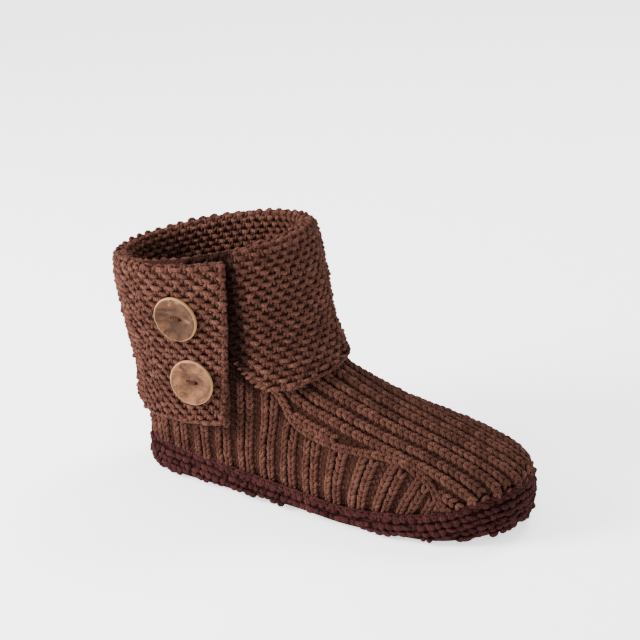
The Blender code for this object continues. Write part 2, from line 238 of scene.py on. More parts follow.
# Side of the sole: offsets from its outline and lifts as shares of RIM_BULGE
RIM = (
    # offset, share of the rim's height, lift
    (-3.67, 0.00, 0.00),
    (-1.83, 0.00, 0.13),
    (-0.67, 0.10, 0.33),
    (-0.10, 0.32, 0.13),
    (0.00, 0.52, 0.00),
    (-0.20, 0.78, 0.00),
    (-0.60, 0.94, 0.00),
    (-1.00, 1.00, 0.00),
)

# Cuff: turns in degrees from the front, seen from above
CUFF_START = -114.0
CUFF_END = 292.0
STEP_FROM = 208.0
STEP_TO = 238.0
CUFF_EDGE = (
    # turn, height, flare
    (-120.0, 0.735, 0.00),
    (-95.0, 0.710, 0.00),
    (-72.0, 0.685, 0.10),
    (-60.0, 0.645, 0.35),
    (-51.0, 0.578, 0.60),
    (-43.0, 0.528, 0.80),
    (-32.0, 0.524, 0.95),
    (-20.0, 0.556, 1.00),
    (0.0, 0.594, 1.00),
    (30.0, 0.580, 1.00),
    (65.0, 0.480, 0.65),
    (110.0, 0.400, 0.50),
    (160.0, 0.340, 0.00),
    (205.0, 0.320, 0.00),
    (245.0, 0.325, 0.00),
    (292.0, 0.350, 0.00),
)
CAP_FROM = 240.0
CAP_TO = 244.0
CUFF_LEAN = 11.0
LEAN_FROM = 226.0
CUFF_TROUGH = 0.0040
CUFF_ROLL = 0.0012

# A spot behind this turn counts to the overlap, one whole turn on
OVERLAP_TURN = -76.0

# Gap beside the overlap: turns over which its shade and its trough fade, and
# the turn, width and heights of the roll in front of it
GAP_SHADE = (-52.0, -44.0)
TROUGH_FRONT = (-54.0, -46.0)
TROUGH_BACK = (-112.0, -90.0)
ROLL_TURN = -41.5
ROLL_WIDE = 5.0
ROLL_FADE = (0.135, 0.158)

# Shaded corner under the gap: its turns, how far it hangs down, how far forward
CORNER_BACK = (-76.0, -66.0)
CORNER_FRONT = (-48.0, -34.0)
CORNER_DROP = (0.004, 0.018)
CORNER_TO = 0.13

# The cuff's section, down inside and up outside, and its fold over the collar
CUFF_SIDE = (
    # share of the way up, lift, depth
    (1.00, 0.00, 0.00),
    (0.68, 0.00, 0.00),
    (0.36, 0.00, 0.00),
    (0.10, 0.00, 0.00),
    (0.00, 0.25, 0.00),
    (0.00, 0.00, 0.30),
    (0.00, 0.00, 0.75),
    (0.00, 0.30, 1.00),
    (0.12, 0.00, 1.00),
    (0.22, 0.00, 1.00),
    (0.33, 0.00, 1.00),
    (0.44, 0.00, 1.00),
    (0.56, 0.00, 1.00),
    (0.67, 0.00, 1.00),
    (0.78, 0.00, 1.00),
    (0.89, 0.00, 1.00),
    (1.00, 0.00, 1.00),
)
CUFF_CAP = (
    # lift, depth
    (0.55, 0.06),
    (0.90, 0.26),
    (1.00, 0.52),
    (0.90, 0.80),
    (0.50, 1.00),
    (0.00, 0.98),
)

# Buttons: turn round the shaft, height as a share of SHAFT_HEIGHT, lean
BUTTONS = {
    "button_upper": (271.0, 0.800, -7.0),
    "button_lower": (274.5, 0.525, -1.0),
}
BUTTON_WIDTH = 0.0290
BUTTON_THICK = 0.0036
BUTTON_DISH = 0.0016
HOLE_WIDTH = 0.0024
HOLE_SPACING = 0.0060
BUTTON_SIDE = (
    # radius, thickness, dish
    (0.00, 1.00, 1.00),
    (0.15, 1.00, 0.99),
    (0.30, 1.00, 0.96),
    (0.45, 1.00, 0.88),
    (0.58, 1.00, 0.74),
    (0.70, 1.00, 0.50),
    (0.79, 1.00, 0.25),
    (0.86, 1.00, 0.06),
    (0.91, 0.99, 0.00),
    (0.95, 0.93, 0.00),
    (0.985, 0.80, 0.00),
    (1.00, 0.60, 0.00),
    (0.985, 0.30, 0.00),
    (0.93, 0.08, 0.00),
    (0.85, 0.00, 0.00),
    (0.00, 0.00, 0.00),
)

# Raised line between the side of the foot and its instep panel
RIDGE = (
    # step, place as a share of LENGTH, height as a share of INSTEP_HEIGHT
    (0.00, 0.375, 0.950),
    (0.12, 0.412, 0.815),
    (0.24, 0.458, 0.668),
    (0.36, 0.515, 0.600),
    (0.48, 0.580, 0.565),
    (0.60, 0.650, 0.555),
    (0.71, 0.712, 0.548),
    (0.81, 0.770, 0.508),
    (0.90, 0.822, 0.420),
    (1.00, 0.862, 0.225),
)

# Planes that cut the instep panel across: the foot of each plane, as shares
# of LENGTH and INSTEP_HEIGHT, and its tilt in degrees
PANEL = (
    # step, place, height, tilt
    (0.00, 0.27, 0.27, 30.0),
    (0.20, 0.40, 0.30, 25.0),
    (0.45, 0.60, 0.30, 19.0),
    (0.70, 0.80, 0.24, 18.0),
    (0.85, 0.84, 0.22, 50.0),
    (1.00, 0.86, 0.20, 98.0),
)

# Soft troughs and ridges, from one point to another in metres on the last;
# a trough goes in, a ridge comes out
CREASES = (
    # start, end, half width, way out
    ((0.066, -0.040, 0.060), (0.100, -0.036, 0.052), 0.0090, -0.0014),
    ((0.118, -0.022, 0.088), (0.118, 0.022, 0.088), 0.0080, -0.0012),
    ((0.112, -0.036, 0.066), (0.134, -0.036, 0.066), 0.0070, -0.0010),
    ((0.188, -0.044, 0.030), (0.214, -0.040, 0.034), 0.0070, -0.0010),
    ((0.226, -0.030, 0.034), (0.244, -0.010, 0.034), 0.0070, -0.0009),
    ((0.150, -0.048, 0.030), (0.170, -0.050, 0.032), 0.0120, 0.0010),
    ((0.012, -0.020, 0.034), (0.004, 0.010, 0.036), 0.0080, -0.0010),
    ((0.066, 0.038, 0.060), (0.100, 0.036, 0.052), 0.0090, -0.0013),
    ((0.192, 0.044, 0.032), (0.218, 0.040, 0.036), 0.0070, -0.0009),
)


def table(rows, place, column):
    """A smooth curve through one column of a table of rows."""
    data = np.array(rows, dtype=float)
    steps, values = data[:, 0], data[:, column]
    slopes = np.gradient(values, steps)
    place = np.clip(np.asarray(place, dtype=float), steps[0], steps[-1])
    index = np.clip(np.searchsorted(steps, place) - 1, 0, len(steps) - 2)
    span = steps[index + 1] - steps[index]
    part = (place - steps[index]) / span
    rest = 1.0 - part
    return (
        values[index] * (1.0 + 2.0 * part) * rest**2
        + values[index + 1] * (3.0 - 2.0 * part) * part**2
        + slopes[index] * span * part * rest**2
        - slopes[index + 1] * span * rest * part**2
    )


def soft_step(value, low, high):
    """Goes smoothly from 0 at low to 1 at high."""
    part = np.clip((value - low) / (high - low), 0.0, 1.0)
    return part * part * (3.0 - 2.0 * part)


def plan_gauge(x, y, inset=0.0):
    """Below 1 inside the sole's outline seen from above, above 1 outside."""
    share = x / LENGTH
    outer = table(OUTLINE, share, 1) * BALL_WIDTH - inset
    inner = table(OUTLINE, share, 2) * BALL_WIDTH - inset
    across = np.where(y < 0.0, -y / outer, y / inner)
    heel = (HEEL_ROUND * LENGTH - x) / (HEEL_ROUND * LENGTH - inset)
    toe = (x - (1.0 - TOE_ROUND) * LENGTH) / (TOE_ROUND * LENGTH - inset)
    ends = np.maximum(np.maximum(heel, toe), 0.0)
    return (across**ROUNDNESS + ends**ROUNDNESS) ** (1.0 / ROUNDNESS)


def ground(x):
    """Underside of the sole: flat at heel and ball, arched, sprung at the toe."""
    share = x / LENGTH
    arch = soft_step(share, 0.28, 0.42) * (1.0 - soft_step(share, 0.48, 0.62))
    spring = np.clip((share - 0.80) / 0.20, 0.0, 1.2) ** 2
    return ARCH_RISE * arch + TOE_SPRING * spring


def rim_top(x):
    """Height of the seam between sole and upper."""
    return ground(x) + table(EDGE, x / LENGTH, 1) * RIM_HEIGHT


def foot_gauge(x, y, z):
    """Below 0 inside the foot part of the upper, roughly in metres."""
    share = x / LENGTH
    widest = table(EDGE, share, 2) * RIM_HEIGHT
    top = table(TOP_LINE, share, 1) * INSTEP_HEIGHT
    tuck = TUCK * (1.0 - soft_step(z, rim_top(x), widest))
    plan = plan_gauge(x, y, RIM_BULGE + tuck)
    rise = np.maximum(z - widest, 0.0) / (top - widest)
    return ((plan**CROWN + rise**CROWN) ** (1.0 / CROWN) - 1.0) * BALL_WIDTH / 2.0


def shaft_gauge(x, y, z):
    """Below 0 inside the shaft of the upper, roughly in metres."""
    share = z / SHAFT_HEIGHT
    back = table(SHAFT, share, 1) * LENGTH
    front = table(SHAFT, share, 2) * LENGTH
    outer = table(SHAFT, share, 3) * BALL_WIDTH
    inner = table(SHAFT, share, 4) * BALL_WIDTH
    along = (x - (back + front) / 2.0) / ((front - back) / 2.0)
    across = np.where(y < 0.0, -y / outer, y / inner)
    return (np.sqrt(along**2 + across**2) - 1.0) * BALL_WIDTH / 2.0


def crease_depth(x, y, z):
    """How far in the soft creases press the upper."""
    spot = np.stack([x, y, z + 0.0 * x], -1)
    depth = 0.0 * spot[..., 0]
    for start, end, wide, out in CREASES:
        start = np.array(start)
        run = np.array(end) - start
        part = np.clip((spot - start) @ run / (run @ run), 0.0, 1.0)
        away = np.linalg.norm(spot - start - part[..., None] * run, axis=-1)
        depth = depth - out * np.exp(-((away / wide) ** 2))
    return depth


def upper_gauge(x, y, z):
    """Foot and shaft joined by a soft curve over the instep, with creases."""
    foot = foot_gauge(x, y, z)
    shaft = shaft_gauge(x, y, z)
    part = np.clip(0.5 + 0.5 * (shaft - foot) / BLEND, 0.0, 1.0)
    return shaft + (foot - shaft) * part - BLEND * part * (1.0 - part) + crease_depth(x, y, z)


def gauge_at(spots):
    """The upper's gauge at spots given as points."""
    return upper_gauge(*np.moveaxis(spots, -1, 0))


def reach(gauge, start, heading, longest):
    """How far along each heading the gauge first passes 0."""
    low = np.zeros(len(heading))
    high = np.full(len(heading), longest)
    for _ in range(30):
        middle = (low + high) / 2.0
        inside = gauge(start + heading * middle[:, None]) < 0.0
        low = np.where(inside, middle, low)
        high = np.where(inside, high, middle)
    return low


def outline_ring(turns, offset):
    """Points round the sole's outline, moved outwards by an offset."""
    middle = np.array([LENGTH / 2.0, 0.0])
    wide = np.array([LENGTH / 2.0, BALL_WIDTH / 2.0])

    def ring(angles):
        heading = np.stack([np.cos(angles), np.sin(angles)], 1) * wide

        def gauge(spot):
            return plan_gauge(spot[:, 0], spot[:, 1]) - 1.0

        return middle + heading * reach(gauge, middle, heading, 3.0)[:, None]

    along = ring(turns + 0.01) - ring(turns - 0.01)
    along /= np.linalg.norm(along, axis=1)[:, None]
    outwards = np.stack([along[:, 1], -along[:, 0]], 1)
    return ring(turns) + outwards * offset


def section_ends(step):
    """Rear height, front place and front height of one section."""
    rear_height = table(SECTIONS, step, 1) * SHAFT_HEIGHT
    front = table(SECTIONS, step, 2) * LENGTH
    above = SHAFT_HEIGHT - INSTEP_HEIGHT
    front_height = table(SECTIONS, step, 3) * INSTEP_HEIGHT + table(SECTIONS, step, 4) * above
    return rear_height, front, front_height


def upper_ring(turns, step):
    """Points round the upper on one of its sections."""
    rear_height, front, front_height = section_ends(step)
    low = 1.0 - soft_step(step, 0.0, 0.30)
    middle = np.array([front / 2.0, 0.0])
    heading = np.stack([np.cos(turns), np.sin(turns)], 1)
    heading *= np.array([front / 2.0, BALL_WIDTH / 2.0])

    def height(x):
        level = rear_height + (front_height - rear_height) * x / front
        return level * (1.0 - low) + (rim_top(x) + CLEAR) * low

    def gauge(spot):
        return upper_gauge(spot[:, 0], spot[:, 1], height(spot[:, 0]))

    ring = middle + heading * reach(gauge, middle, heading, 3.0)[:, None]
    return np.stack([ring[:, 0], ring[:, 1], height(ring[:, 0])], 1)


def shaft_axis(z):
    """Middle of the shaft at a height."""
    share = z / SHAFT_HEIGHT
    return (table(SHAFT, share, 1) + table(SHAFT, share, 2)) / 2.0 * LENGTH


def shaft_point(turn, z, offset):
    """Point at a turn round the shaft, a given way out from its wall."""
    angle = np.radians(turn)
    start = np.stack([shaft_axis(z), z * 0.0], 1)
    heading = np.stack([np.cos(angle), np.sin(angle)], 1)

    def gauge(spot):
        return upper_gauge(spot[:, 0], spot[:, 1], z)

    out = reach(gauge, start, heading, LENGTH) + offset
    spot = start + heading * out[:, None]
    return np.stack([spot[:, 0], spot[:, 1], z], 1)


def cuff_layer(turn, z):
    """How far the cuff lies off the shaft: it steps out over its own start."""
    step = soft_step(turn, STEP_FROM, STEP_TO)
    edge = table(CUFF_EDGE, turn, 1) * SHAFT_HEIGHT
    near = 1.0 - soft_step(z, edge, edge + FLARE_HEIGHT)
    flare = table(CUFF_EDGE, turn, 2) * CUFF_FLARE * near
    return CUFF_EASE + step * (CUFF_THICK + 2.0 * CLEAR) + flare


def collar_top(x):
    """Height of the upper's open end."""
    rear_height, front, front_height = section_ends(1.0)
    return rear_height + (front_height - rear_height) * x / front


def collar_at(turn):
    """Height of the upper's open end at a turn round the shaft."""
    z = turn * 0.0 + SHAFT_HEIGHT
    for _ in range(4):
        z = collar_top(shaft_point(turn, z, turn * 0.0)[:, 0])
    return z


def cuff_rise(z):
    """How far up the overlap a height lies, from 0 at its foot to 1 at the collar."""
    foot = float(table(CUFF_EDGE, CUFF_END, 1)) * SHAFT_HEIGHT
    return np.clip((z - foot) / (SHAFT_HEIGHT - foot), 0.0, 1.1)


def leaned(turn, z):
    """Turns with the overlap's upright end leaning forward towards the top."""
    return turn + CUFF_LEAN * soft_step(turn, LEAN_FROM, CUFF_END) * cuff_rise(z)


def cuff_roll(turn, z):
    """How far the cuff's face is pressed in beside the overlap and rolls out after it."""
    trough = (1.0 - soft_step(turn, *TROUGH_FRONT)) * soft_step(turn, *TROUGH_BACK)
    roll = np.exp(-(((turn - ROLL_TURN) / ROLL_WIDE) ** 2)) * (1.0 - soft_step(z, *ROLL_FADE))
    return CUFF_ROLL * roll - CUFF_TROUGH * trough


def gap_dim(turn):
    """Deep shade on the cuff's front part where the overlap leaves a gap beside it."""
    return 1.0 - soft_step(turn, *GAP_SHADE)


def turn_of(spots):
    """Turn round the shaft, in degrees, at which each spot lies."""
    return np.degrees(np.arctan2(spots[..., 1], spots[..., 0] - shaft_axis(spots[..., 2])))


def corner_dim(spots):
    """Shade on the ribs that lie in the open corner under the gap."""
    turn = turn_of(spots)
    hung = -cuff_low(spots)
    near = soft_step(turn, *CORNER_BACK) * (1.0 - soft_step(turn, *CORNER_FRONT))
    return near * (1.0 - soft_step(hung, *CORNER_DROP)) * (spots[..., 0] < CORNER_TO)


def cuff_point(turn, z, depth, sink=CUFF_SINK):
    """Point of the cuff: depth 0 on its inner face, 1 on its outer face."""
    out = cuff_layer(turn, z) + depth * (CUFF_THICK + cuff_roll(turn, z) - sink)
    return shaft_point(turn, z, out)


def even_turns(count):
    """Turns evenly round the last, in radians."""
    return np.linspace(0.0, 2.0 * math.pi, count, endpoint=False)


def frame_shift():
    """From the last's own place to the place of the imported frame."""
    ring = outline_ring(even_turns(FRAME_TURNS), 0.0)
    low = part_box("sole")[0]
    return np.array([low[0] - ring[:, 0].min(), low[1] - ring[:, 1].min(), low[2]])


SHIFT = frame_shift()

# Turns close together, once round the last
ALL_ROUND = np.linspace(0.0, 2.0 * math.pi, 1441)


# ---------------------------------------------------------------- surfaces


def slope(spots):
    """Which way is straight out of the upper at each spot."""
    facing = np.empty_like(spots)
    for axis in range(3):
        side = np.zeros(3)
        side[axis] = NEARBY
        high, low = spots + side, spots - side
        facing[..., axis] = gauge_at(high) - gauge_at(low)
    return facing / np.linalg.norm(facing, axis=-1, keepdims=True)


def settle(spots):
    """Brings spots that lie near the upper onto its surface."""
    for _ in range(6):
        off = gauge_at(spots)
        facing = slope(spots)
        ahead = gauge_at(spots + facing * NEARBY)
        rate = np.maximum((ahead - off) / NEARBY, 0.2)
        spots = spots - facing * np.clip(off / rate, -0.004, 0.004)[..., None]
    return spots


def climb(starts, heading, rows, pitch):
    """Walks over the upper from each start, one row of knitting at a time."""
    spots = [settle(starts)]
    facings = [slope(spots[0])]
    ways = []
    for _ in range(rows):
        here, facing = spots[-1], facings[-1]
        way = heading(here)
        way = way - facing * np.sum(way * facing, axis=1, keepdims=True)
        way /= np.linalg.norm(way, axis=1, keepdims=True)
        ways.append(way)
        spots.append(settle(here + way * pitch))
        facings.append(slope(spots[-1]))
    ways.append(ways[-1])
    return np.array(spots), np.array(ways), np.array(facings)


def ridge_line(side, count):
    """Points of the raised line on the outer (-1) or inner (1) side."""
    step = np.linspace(0.0, 1.0, count)
    x = table(RIDGE, step, 1) * LENGTH
    z = table(RIDGE, step, 2) * INSTEP_HEIGHT
    start = np.stack([x, x * 0.0, z], 1)
    heading = np.tile([0.0, float(side), 0.0], (count, 1))
    return start + heading * reach(gauge_at, start, heading, BALL_WIDTH)[:, None]


RIDGE_STEPS = np.linspace(0.0, 1.0, 60)
RIDGE_X = table(RIDGE, RIDGE_STEPS, 1) * LENGTH
RIDGE_Z = table(RIDGE, RIDGE_STEPS, 2) * INSTEP_HEIGHT


def above_ridge(spots):
    """Height over the raised line; all of the toe counts as above it."""
    level = np.interp(spots[..., 0], RIDGE_X, RIDGE_Z, left=1.0, right=-1.0)
    return spots[..., 2] - level


def cuff_low(spots):
    """Height over the cuff's lower edge at the turn where each spot lies."""
    turn = turn_of(spots)
    turn = np.where(turn < OVERLAP_TURN, turn + 360.0, turn)
    return spots[..., 2] - table(CUFF_EDGE, turn, 1) * SHAFT_HEIGHT


def path_lengths(path):
    """Way walked from the start of a path to each of its points."""
    return np.concatenate([[0.0], np.cumsum(np.linalg.norm(np.diff(path, axis=0), axis=1))])


def pace_out(path, carried, pitch, start=0.5):
    """Even stations along a path, with other columns of values carried along."""
    walked = path_lengths(path)
    stations = np.arange(start * pitch, walked[-1], pitch)
    made = []
    for values in (path, *carried):
        flat = values.reshape(len(values), -1)
        even = [np.interp(stations, walked, flat[:, k]) for k in range(flat.shape[1])]
        made.append(np.stack(even, 1).reshape((len(stations),) + values.shape[1:]))
    return made


def unit(vectors):
    """The same directions, each one long."""
    return vectors / np.maximum(np.linalg.norm(vectors, axis=-1, keepdims=True), 1e-9)


def rows_on_grid(grid, pitch, out, start=0.5):
    """Stitch spots on a grid of columns, a pitch apart down each column."""
    over = np.gradient(grid, axis=0)
    down = np.gradient(grid, axis=1)
    facing = unit(np.cross(over, down)) * out
    groups = []
    for column in range(len(grid)):
        wide = np.linalg.norm(over[column], axis=1)
        place, along, normal, breadth = pace_out(
            grid[column], [down[column], facing[column], wide[:, None]], pitch, start
        )
        count = len(place)
        groups.append(as_spots(place, unit(along), unit(normal), breadth[:, 0],
                               np.full(count, column), np.arange(count)))
    return together(*groups)


def keep(spots, mask):
    """Only the stitch spots where the mask holds."""
    return {key: value[mask] for key, value in spots.items()}


def draw_in(spots, wale, onwards, spread):
    """Draws the purl columns together, so that the knit ribs stand round between them."""
    phase = (spots["column"] + 1) % 4
    knit = phase < 2
    side = np.where(phase % 2 == 0, -1.0, 1.0)
    across = unit(np.cross(spots["along"], spots["facing"])) * onwards
    way = np.where(knit, spread, -0.27) * side * wale
    bend = np.where(knit, 0.26, -0.10) * side
    spots["place"] = spots["place"] + across * way[:, None]
    spots["facing"] = unit(spots["facing"] + across * bend[:, None])
    return knit


def sow_ribs(name, spots, onwards, spread, wide, thick, seed):
    """Ribs of the foot: round knit columns, and purl columns sunk between them; both take darker
    copies of the yarn as painted shade, the purl ones darker still.
    """
    sizes = bpy.context.scene.bootie_sizes
    rib = draw_in(spots, sizes.wale, onwards, spread)
    knit, purl = keep(spots, rib), keep(spots, ~rib)
    sow(name + "_knit", knit_stitch(), knit, sizes.course,
        sizes.relief * 0.45 - SINK + knit["lap"], "brown_foot", seed, wide=wide, thick=thick)
    sow(name + "_purl", purl_stitch(0.36, 0.30), purl, sizes.course,
        -sizes.relief - SINK, "brown_valley", seed + 1, wide=0.66, thick=0.85)


def as_spots(place, along, facing, wide, column=None, row=None):
    """Stitch spots from flat arrays, unshaded and level with the surface."""
    count = len(place)
    none = np.zeros(count)
    return {
        "place": place,
        "along": along,
        "facing": facing,
        "wide": none + wide,
        "column": none.astype(int) if column is None else column,
        "row": none.astype(int) if row is None else row,
        "dim": none,
        "lap": none,
    }


def chain_on(path, facing, pitch, wide):
    """Stitch spots one after another along a path."""
    place, normal = pace_out(path, [facing], pitch)
    return as_spots(place, unit(np.gradient(place, axis=0)), unit(normal), wide)


def together(*groups):
    """Several groups of stitch spots as one."""
    return {key: np.concatenate([group[key] for group in groups]) for key in groups[0]}


# ---------------------------------------------------------------- shaping


def mapped_grid(bm, columns, rows, place):
    """A grid whose corners go where place(across, up) puts them, with a UV map."""
    corners = bmesh.ops.create_grid(bm, x_segments=columns, y_segments=rows, size=0.5)["verts"]
    shares = {v: (v.co.x + 0.5, v.co.y + 0.5) for v in corners}
    layer = bm.loops.layers.uv.verify()
    for face in bm.faces:
        for loop in face.loops:
            if loop.vert in shares:
                loop[layer].uv = shares[loop.vert]
    flat = np.array([shares[v] for v in corners])
    for corner, point in zip(corners, place(flat[:, 0], flat[:, 1])):
        corner.co = Vector(point)


def stacked_grid(bm, stack, columns, rows):
    """A grid over a stack of rings, closed where it comes round to its start."""

    def place(across, up):
        turn = np.rint(across * columns).astype(int) % stack.shape[1]
        row = np.rint(up * rows).astype(int) % stack.shape[0]
        return stack[row, turn] + SHIFT

    mapped_grid(bm, columns, rows, place)


def strand(bm, path, girth, power, sides, steps):
    """A tapered strand of yarn along a path, round and closed at both ends."""

    def place(across, up):
        angle = across * 2.0 * math.pi
        spine = path(up)
        ahead = unit(path(up + 0.02) - path(up - 0.02))
        side = unit(np.cross(ahead, np.array([0.0, 0.0, 1.0])))
        rise = np.cross(side, ahead)
        radius = (girth * np.sin(math.pi * np.clip(up, 0, 1)) ** power)[:, None]
        return spine + radius * (side * np.cos(angle)[:, None] + rise * np.sin(angle)[:, None])

    mapped_grid(bm, sides, steps, place)


def as_mesh(name, bm, merge=0.00002):
    """Closes a mesh, turns its faces outwards and makes it smooth."""
    bmesh.ops.remove_doubles(bm, verts=bm.verts, dist=merge)
    bmesh.ops.recalc_face_normals(bm, faces=bm.faces)
    mesh = bpy.data.meshes.new(name)
    bm.to_mesh(mesh)
    bm.free()
    mesh.polygons.foreach_set("use_smooth", [True] * len(mesh.polygons))
    return mesh


def grade_height(mesh):
    """Keeps how high each point of a stitch stands, from 0 to 1."""
    height = np.empty(len(mesh.vertices) * 3)
    mesh.vertices.foreach_get("co", height)
    z = height.reshape(-1, 3)[:, 2]
    # The yarn finish paints shade by this height, darker towards each stitch's roots.
    layer = mesh.attributes.new("crown", "FLOAT", "POINT")
    layer.data.foreach_set("value", (z - z.min()) / (z.max() - z.min()))
    return mesh


def knit_stitch(sides=7, steps=6):
    """A knit stitch: two legs that meet in a V, one unit wide and high."""
    bm = bmesh.new()
    for side in (-1.0, 1.0):

        def path(up, side=side):
            lean = side * (0.03 + 0.40 * np.clip(up, 0.0, 1.2) ** 0.9)
            rise = -0.82 + 1.60 * up
            height = 0.11 + 0.10 * np.sin(np.clip(up, 0.0, 1.0) * math.pi) - 0.22 * up
            return np.stack([lean, rise, height], 1)

        strand(bm, path, 0.265, 0.5, sides, steps)
    return grade_height(as_mesh("knit_stitch", bm, 0.0005))


def purl_stitch(plump, arch):
    """A purl stitch: one strand that lies across in a low arch."""
    bm = bmesh.new()

    def path(up):
        across = -0.62 + 1.24 * up
        rise = arch * (np.sin(math.pi * np.clip(up, 0.0, 1.0)) - 0.5)
        height = -0.06 + 0.30 * np.sin(math.pi * np.clip(up, 0.0, 1.0))
        return np.stack([across, rise, height], 1)

    strand(bm, path, plump, 0.5, 7, 7)
    return grade_height(as_mesh("purl_stitch", bm, 0.0005))


def sow_tree(stitch):
    """Geometry nodes that set a stitch on every point and join them."""
    tree = bpy.data.node_groups.new("sow_stitches", "GeometryNodeTree")
    for way in ("INPUT", "OUTPUT"):
        tree.interface.new_socket("Geometry", in_out=way, socket_type="NodeSocketGeometry")
    nodes, links = tree.nodes, tree.links
    given = nodes.new("NodeGroupInput")
    result = nodes.new("NodeGroupOutput")
    source = nodes.new("GeometryNodeObjectInfo")
    source.inputs["Object"].default_value = stitch
    turn = nodes.new("FunctionNodeAxesToRotation")
    turn.primary_axis = "Z"
    turn.secondary_axis = "Y"
    put = nodes.new("GeometryNodeInstanceOnPoints")
    real = nodes.new("GeometryNodeRealizeInstances")
    wanted = (turn.inputs[0], turn.inputs[1], put.inputs["Scale"])
    for name, socket in zip(CARRIED, wanted):
        node = nodes.new("GeometryNodeInputNamedAttribute")
        node.data_type = "FLOAT_VECTOR"
        node.inputs["Name"].default_value = name
        links.new(node.outputs["Attribute"], socket)
    links.new(given.outputs[0], put.inputs["Points"])
    links.new(source.outputs["Geometry"], put.inputs["Instance"])
    links.new(turn.outputs[0], put.inputs["Rotation"])
    links.new(put.outputs[0], real.inputs[0])
    links.new(real.outputs[0], result.inputs[0])
    return tree


def evaluated(source, helpers):
    """The finished mesh of an object with modifiers, whose helpers then go."""
    bpy.context.view_layer.update()
    graph = bpy.context.evaluated_depsgraph_get()
    mesh = bpy.data.meshes.new_from_object(source.evaluated_get(graph), depsgraph=graph)
    for helper in helpers:
        bpy.data.objects.remove(helper, do_unlink=True)
    return mesh


def linked(name, mesh):
    """A new object in the scene."""
    made = bpy.data.objects.new(name, mesh)
    bpy.context.scene.collection.objects.link(made)
    return made


def show(name, mesh, finishes, replaced=()):
    """Adds a finished piece to the scene and ties it to the frame."""
    made = linked(name, mesh)
    made.data.materials.clear()
    for finish in finishes:
        made.data.materials.append(finish_named(finish))
    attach(made, "root")
    if replaced:
        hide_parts(*replaced)


def sow(name, stitch, spots, height, out, finish, seed, wide=1.0, thick=1.0, loose=1.0):
    """Sets a stitch on every spot, slightly uneven as hand knitting is."""
    dice = np.random.default_rng(seed)
    count = len(spots["place"])
    if count == 0:
        raise RuntimeError(f"{name} has no stitches")
    facing, along = spots["facing"], spots["along"]
    across = unit(np.cross(along, facing))
    sway = dice.normal(0.0, SWAY * loose, (count, 3))
    lift = np.asarray(out) + dice.normal(0, LIFT_SPREAD, count) * loose
    place = spots["place"] + facing * lift[:, None]
    place = place + across * dice.normal(0, SIDE_SPREAD, count)[:, None] * loose + SHIFT
    along = unit(along + across * sway[:, :1] + facing * sway[:, 1:2])
    facing = unit(facing + across * sway[:, 2:3])
    vary = 1.0 + dice.normal(0.0, SIZE_SPREAD * loose, (count, 3))
    deep = np.full(count, height * thick)
    size = np.stack([spots["wide"] * wide, np.full(count, height), deep], 1) * vary
    points = bpy.data.meshes.new(name + "_spots")
    points.vertices.add(count)
    points.vertices.foreach_set("co", place.ravel())
    for key, value in zip(CARRIED, (facing, along, size)):
        layer = points.attributes.new(key, "FLOAT_VECTOR", "POINT")
        layer.data.foreach_set("vector", value.ravel())
    for key, value in (("shade", dice.random(count)), ("dim", spots["dim"])):
        layer = points.attributes.new(key, "FLOAT", "POINT")
        layer.data.foreach_set("value", value)
    sower = linked(name + "_sower", points)
    seedling = linked(name + "_stitch", stitch)
    tree = sow_tree(seedling)
    sower.modifiers.new("sow", "NODES").node_group = tree
    mesh = evaluated(sower, (sower, seedling))
    mesh.name = name
    bpy.data.node_groups.remove(tree)
    for key in CARRIED:
        if key in mesh.attributes:
            mesh.attributes.remove(mesh.attributes[key])
    rest_on_floor(mesh)
    show(name, mesh, [finish])


def rest_on_floor(mesh):
    """Presses whatever would hang under the floor flat against it."""
    spots = np.empty(len(mesh.vertices) * 3)
    mesh.vertices.foreach_get("co", spots)
    spots = spots.reshape(-1, 3)
    spots[:, 2] = np.maximum(spots[:, 2], cad_box[0][2])
    mesh.vertices.foreach_set("co", spots.ravel())
    mesh.update()


# ---------------------------------------------------------------- finishes


class Thread:
    """A value in a material, so that shader maths reads as plain sums."""

    def __init__(self, finish, socket):
        self.finish = finish
        self.socket = socket

    def math(self, operation, *values):
        """A maths node on this finish's tree."""
        numbers = dict(enumerate(values))
        return self.finish.node("ShaderNodeMath", {"operation": operation}, numbers)

    def __add__(self, other):
        return self.math("ADD", self, other)

    __radd__ = __add__

    def __mul__(self, other):
        return self.math("MULTIPLY", self, other)

    __rmul__ = __mul__

    def __sub__(self, other):
        return self.math("SUBTRACT", self, other)

    def __rsub__(self, other):
        return self.math("SUBTRACT", other, self)

    def __pow__(self, other):
        return self.math("POWER", self, other)

    def sine(self):
        """Its sine."""
        return self.math("SINE", self)

    def wave(self, turns=1.0):
        """A wave that goes up and down once for each unit."""
        return (self * (2.0 * math.pi * turns)).sine()


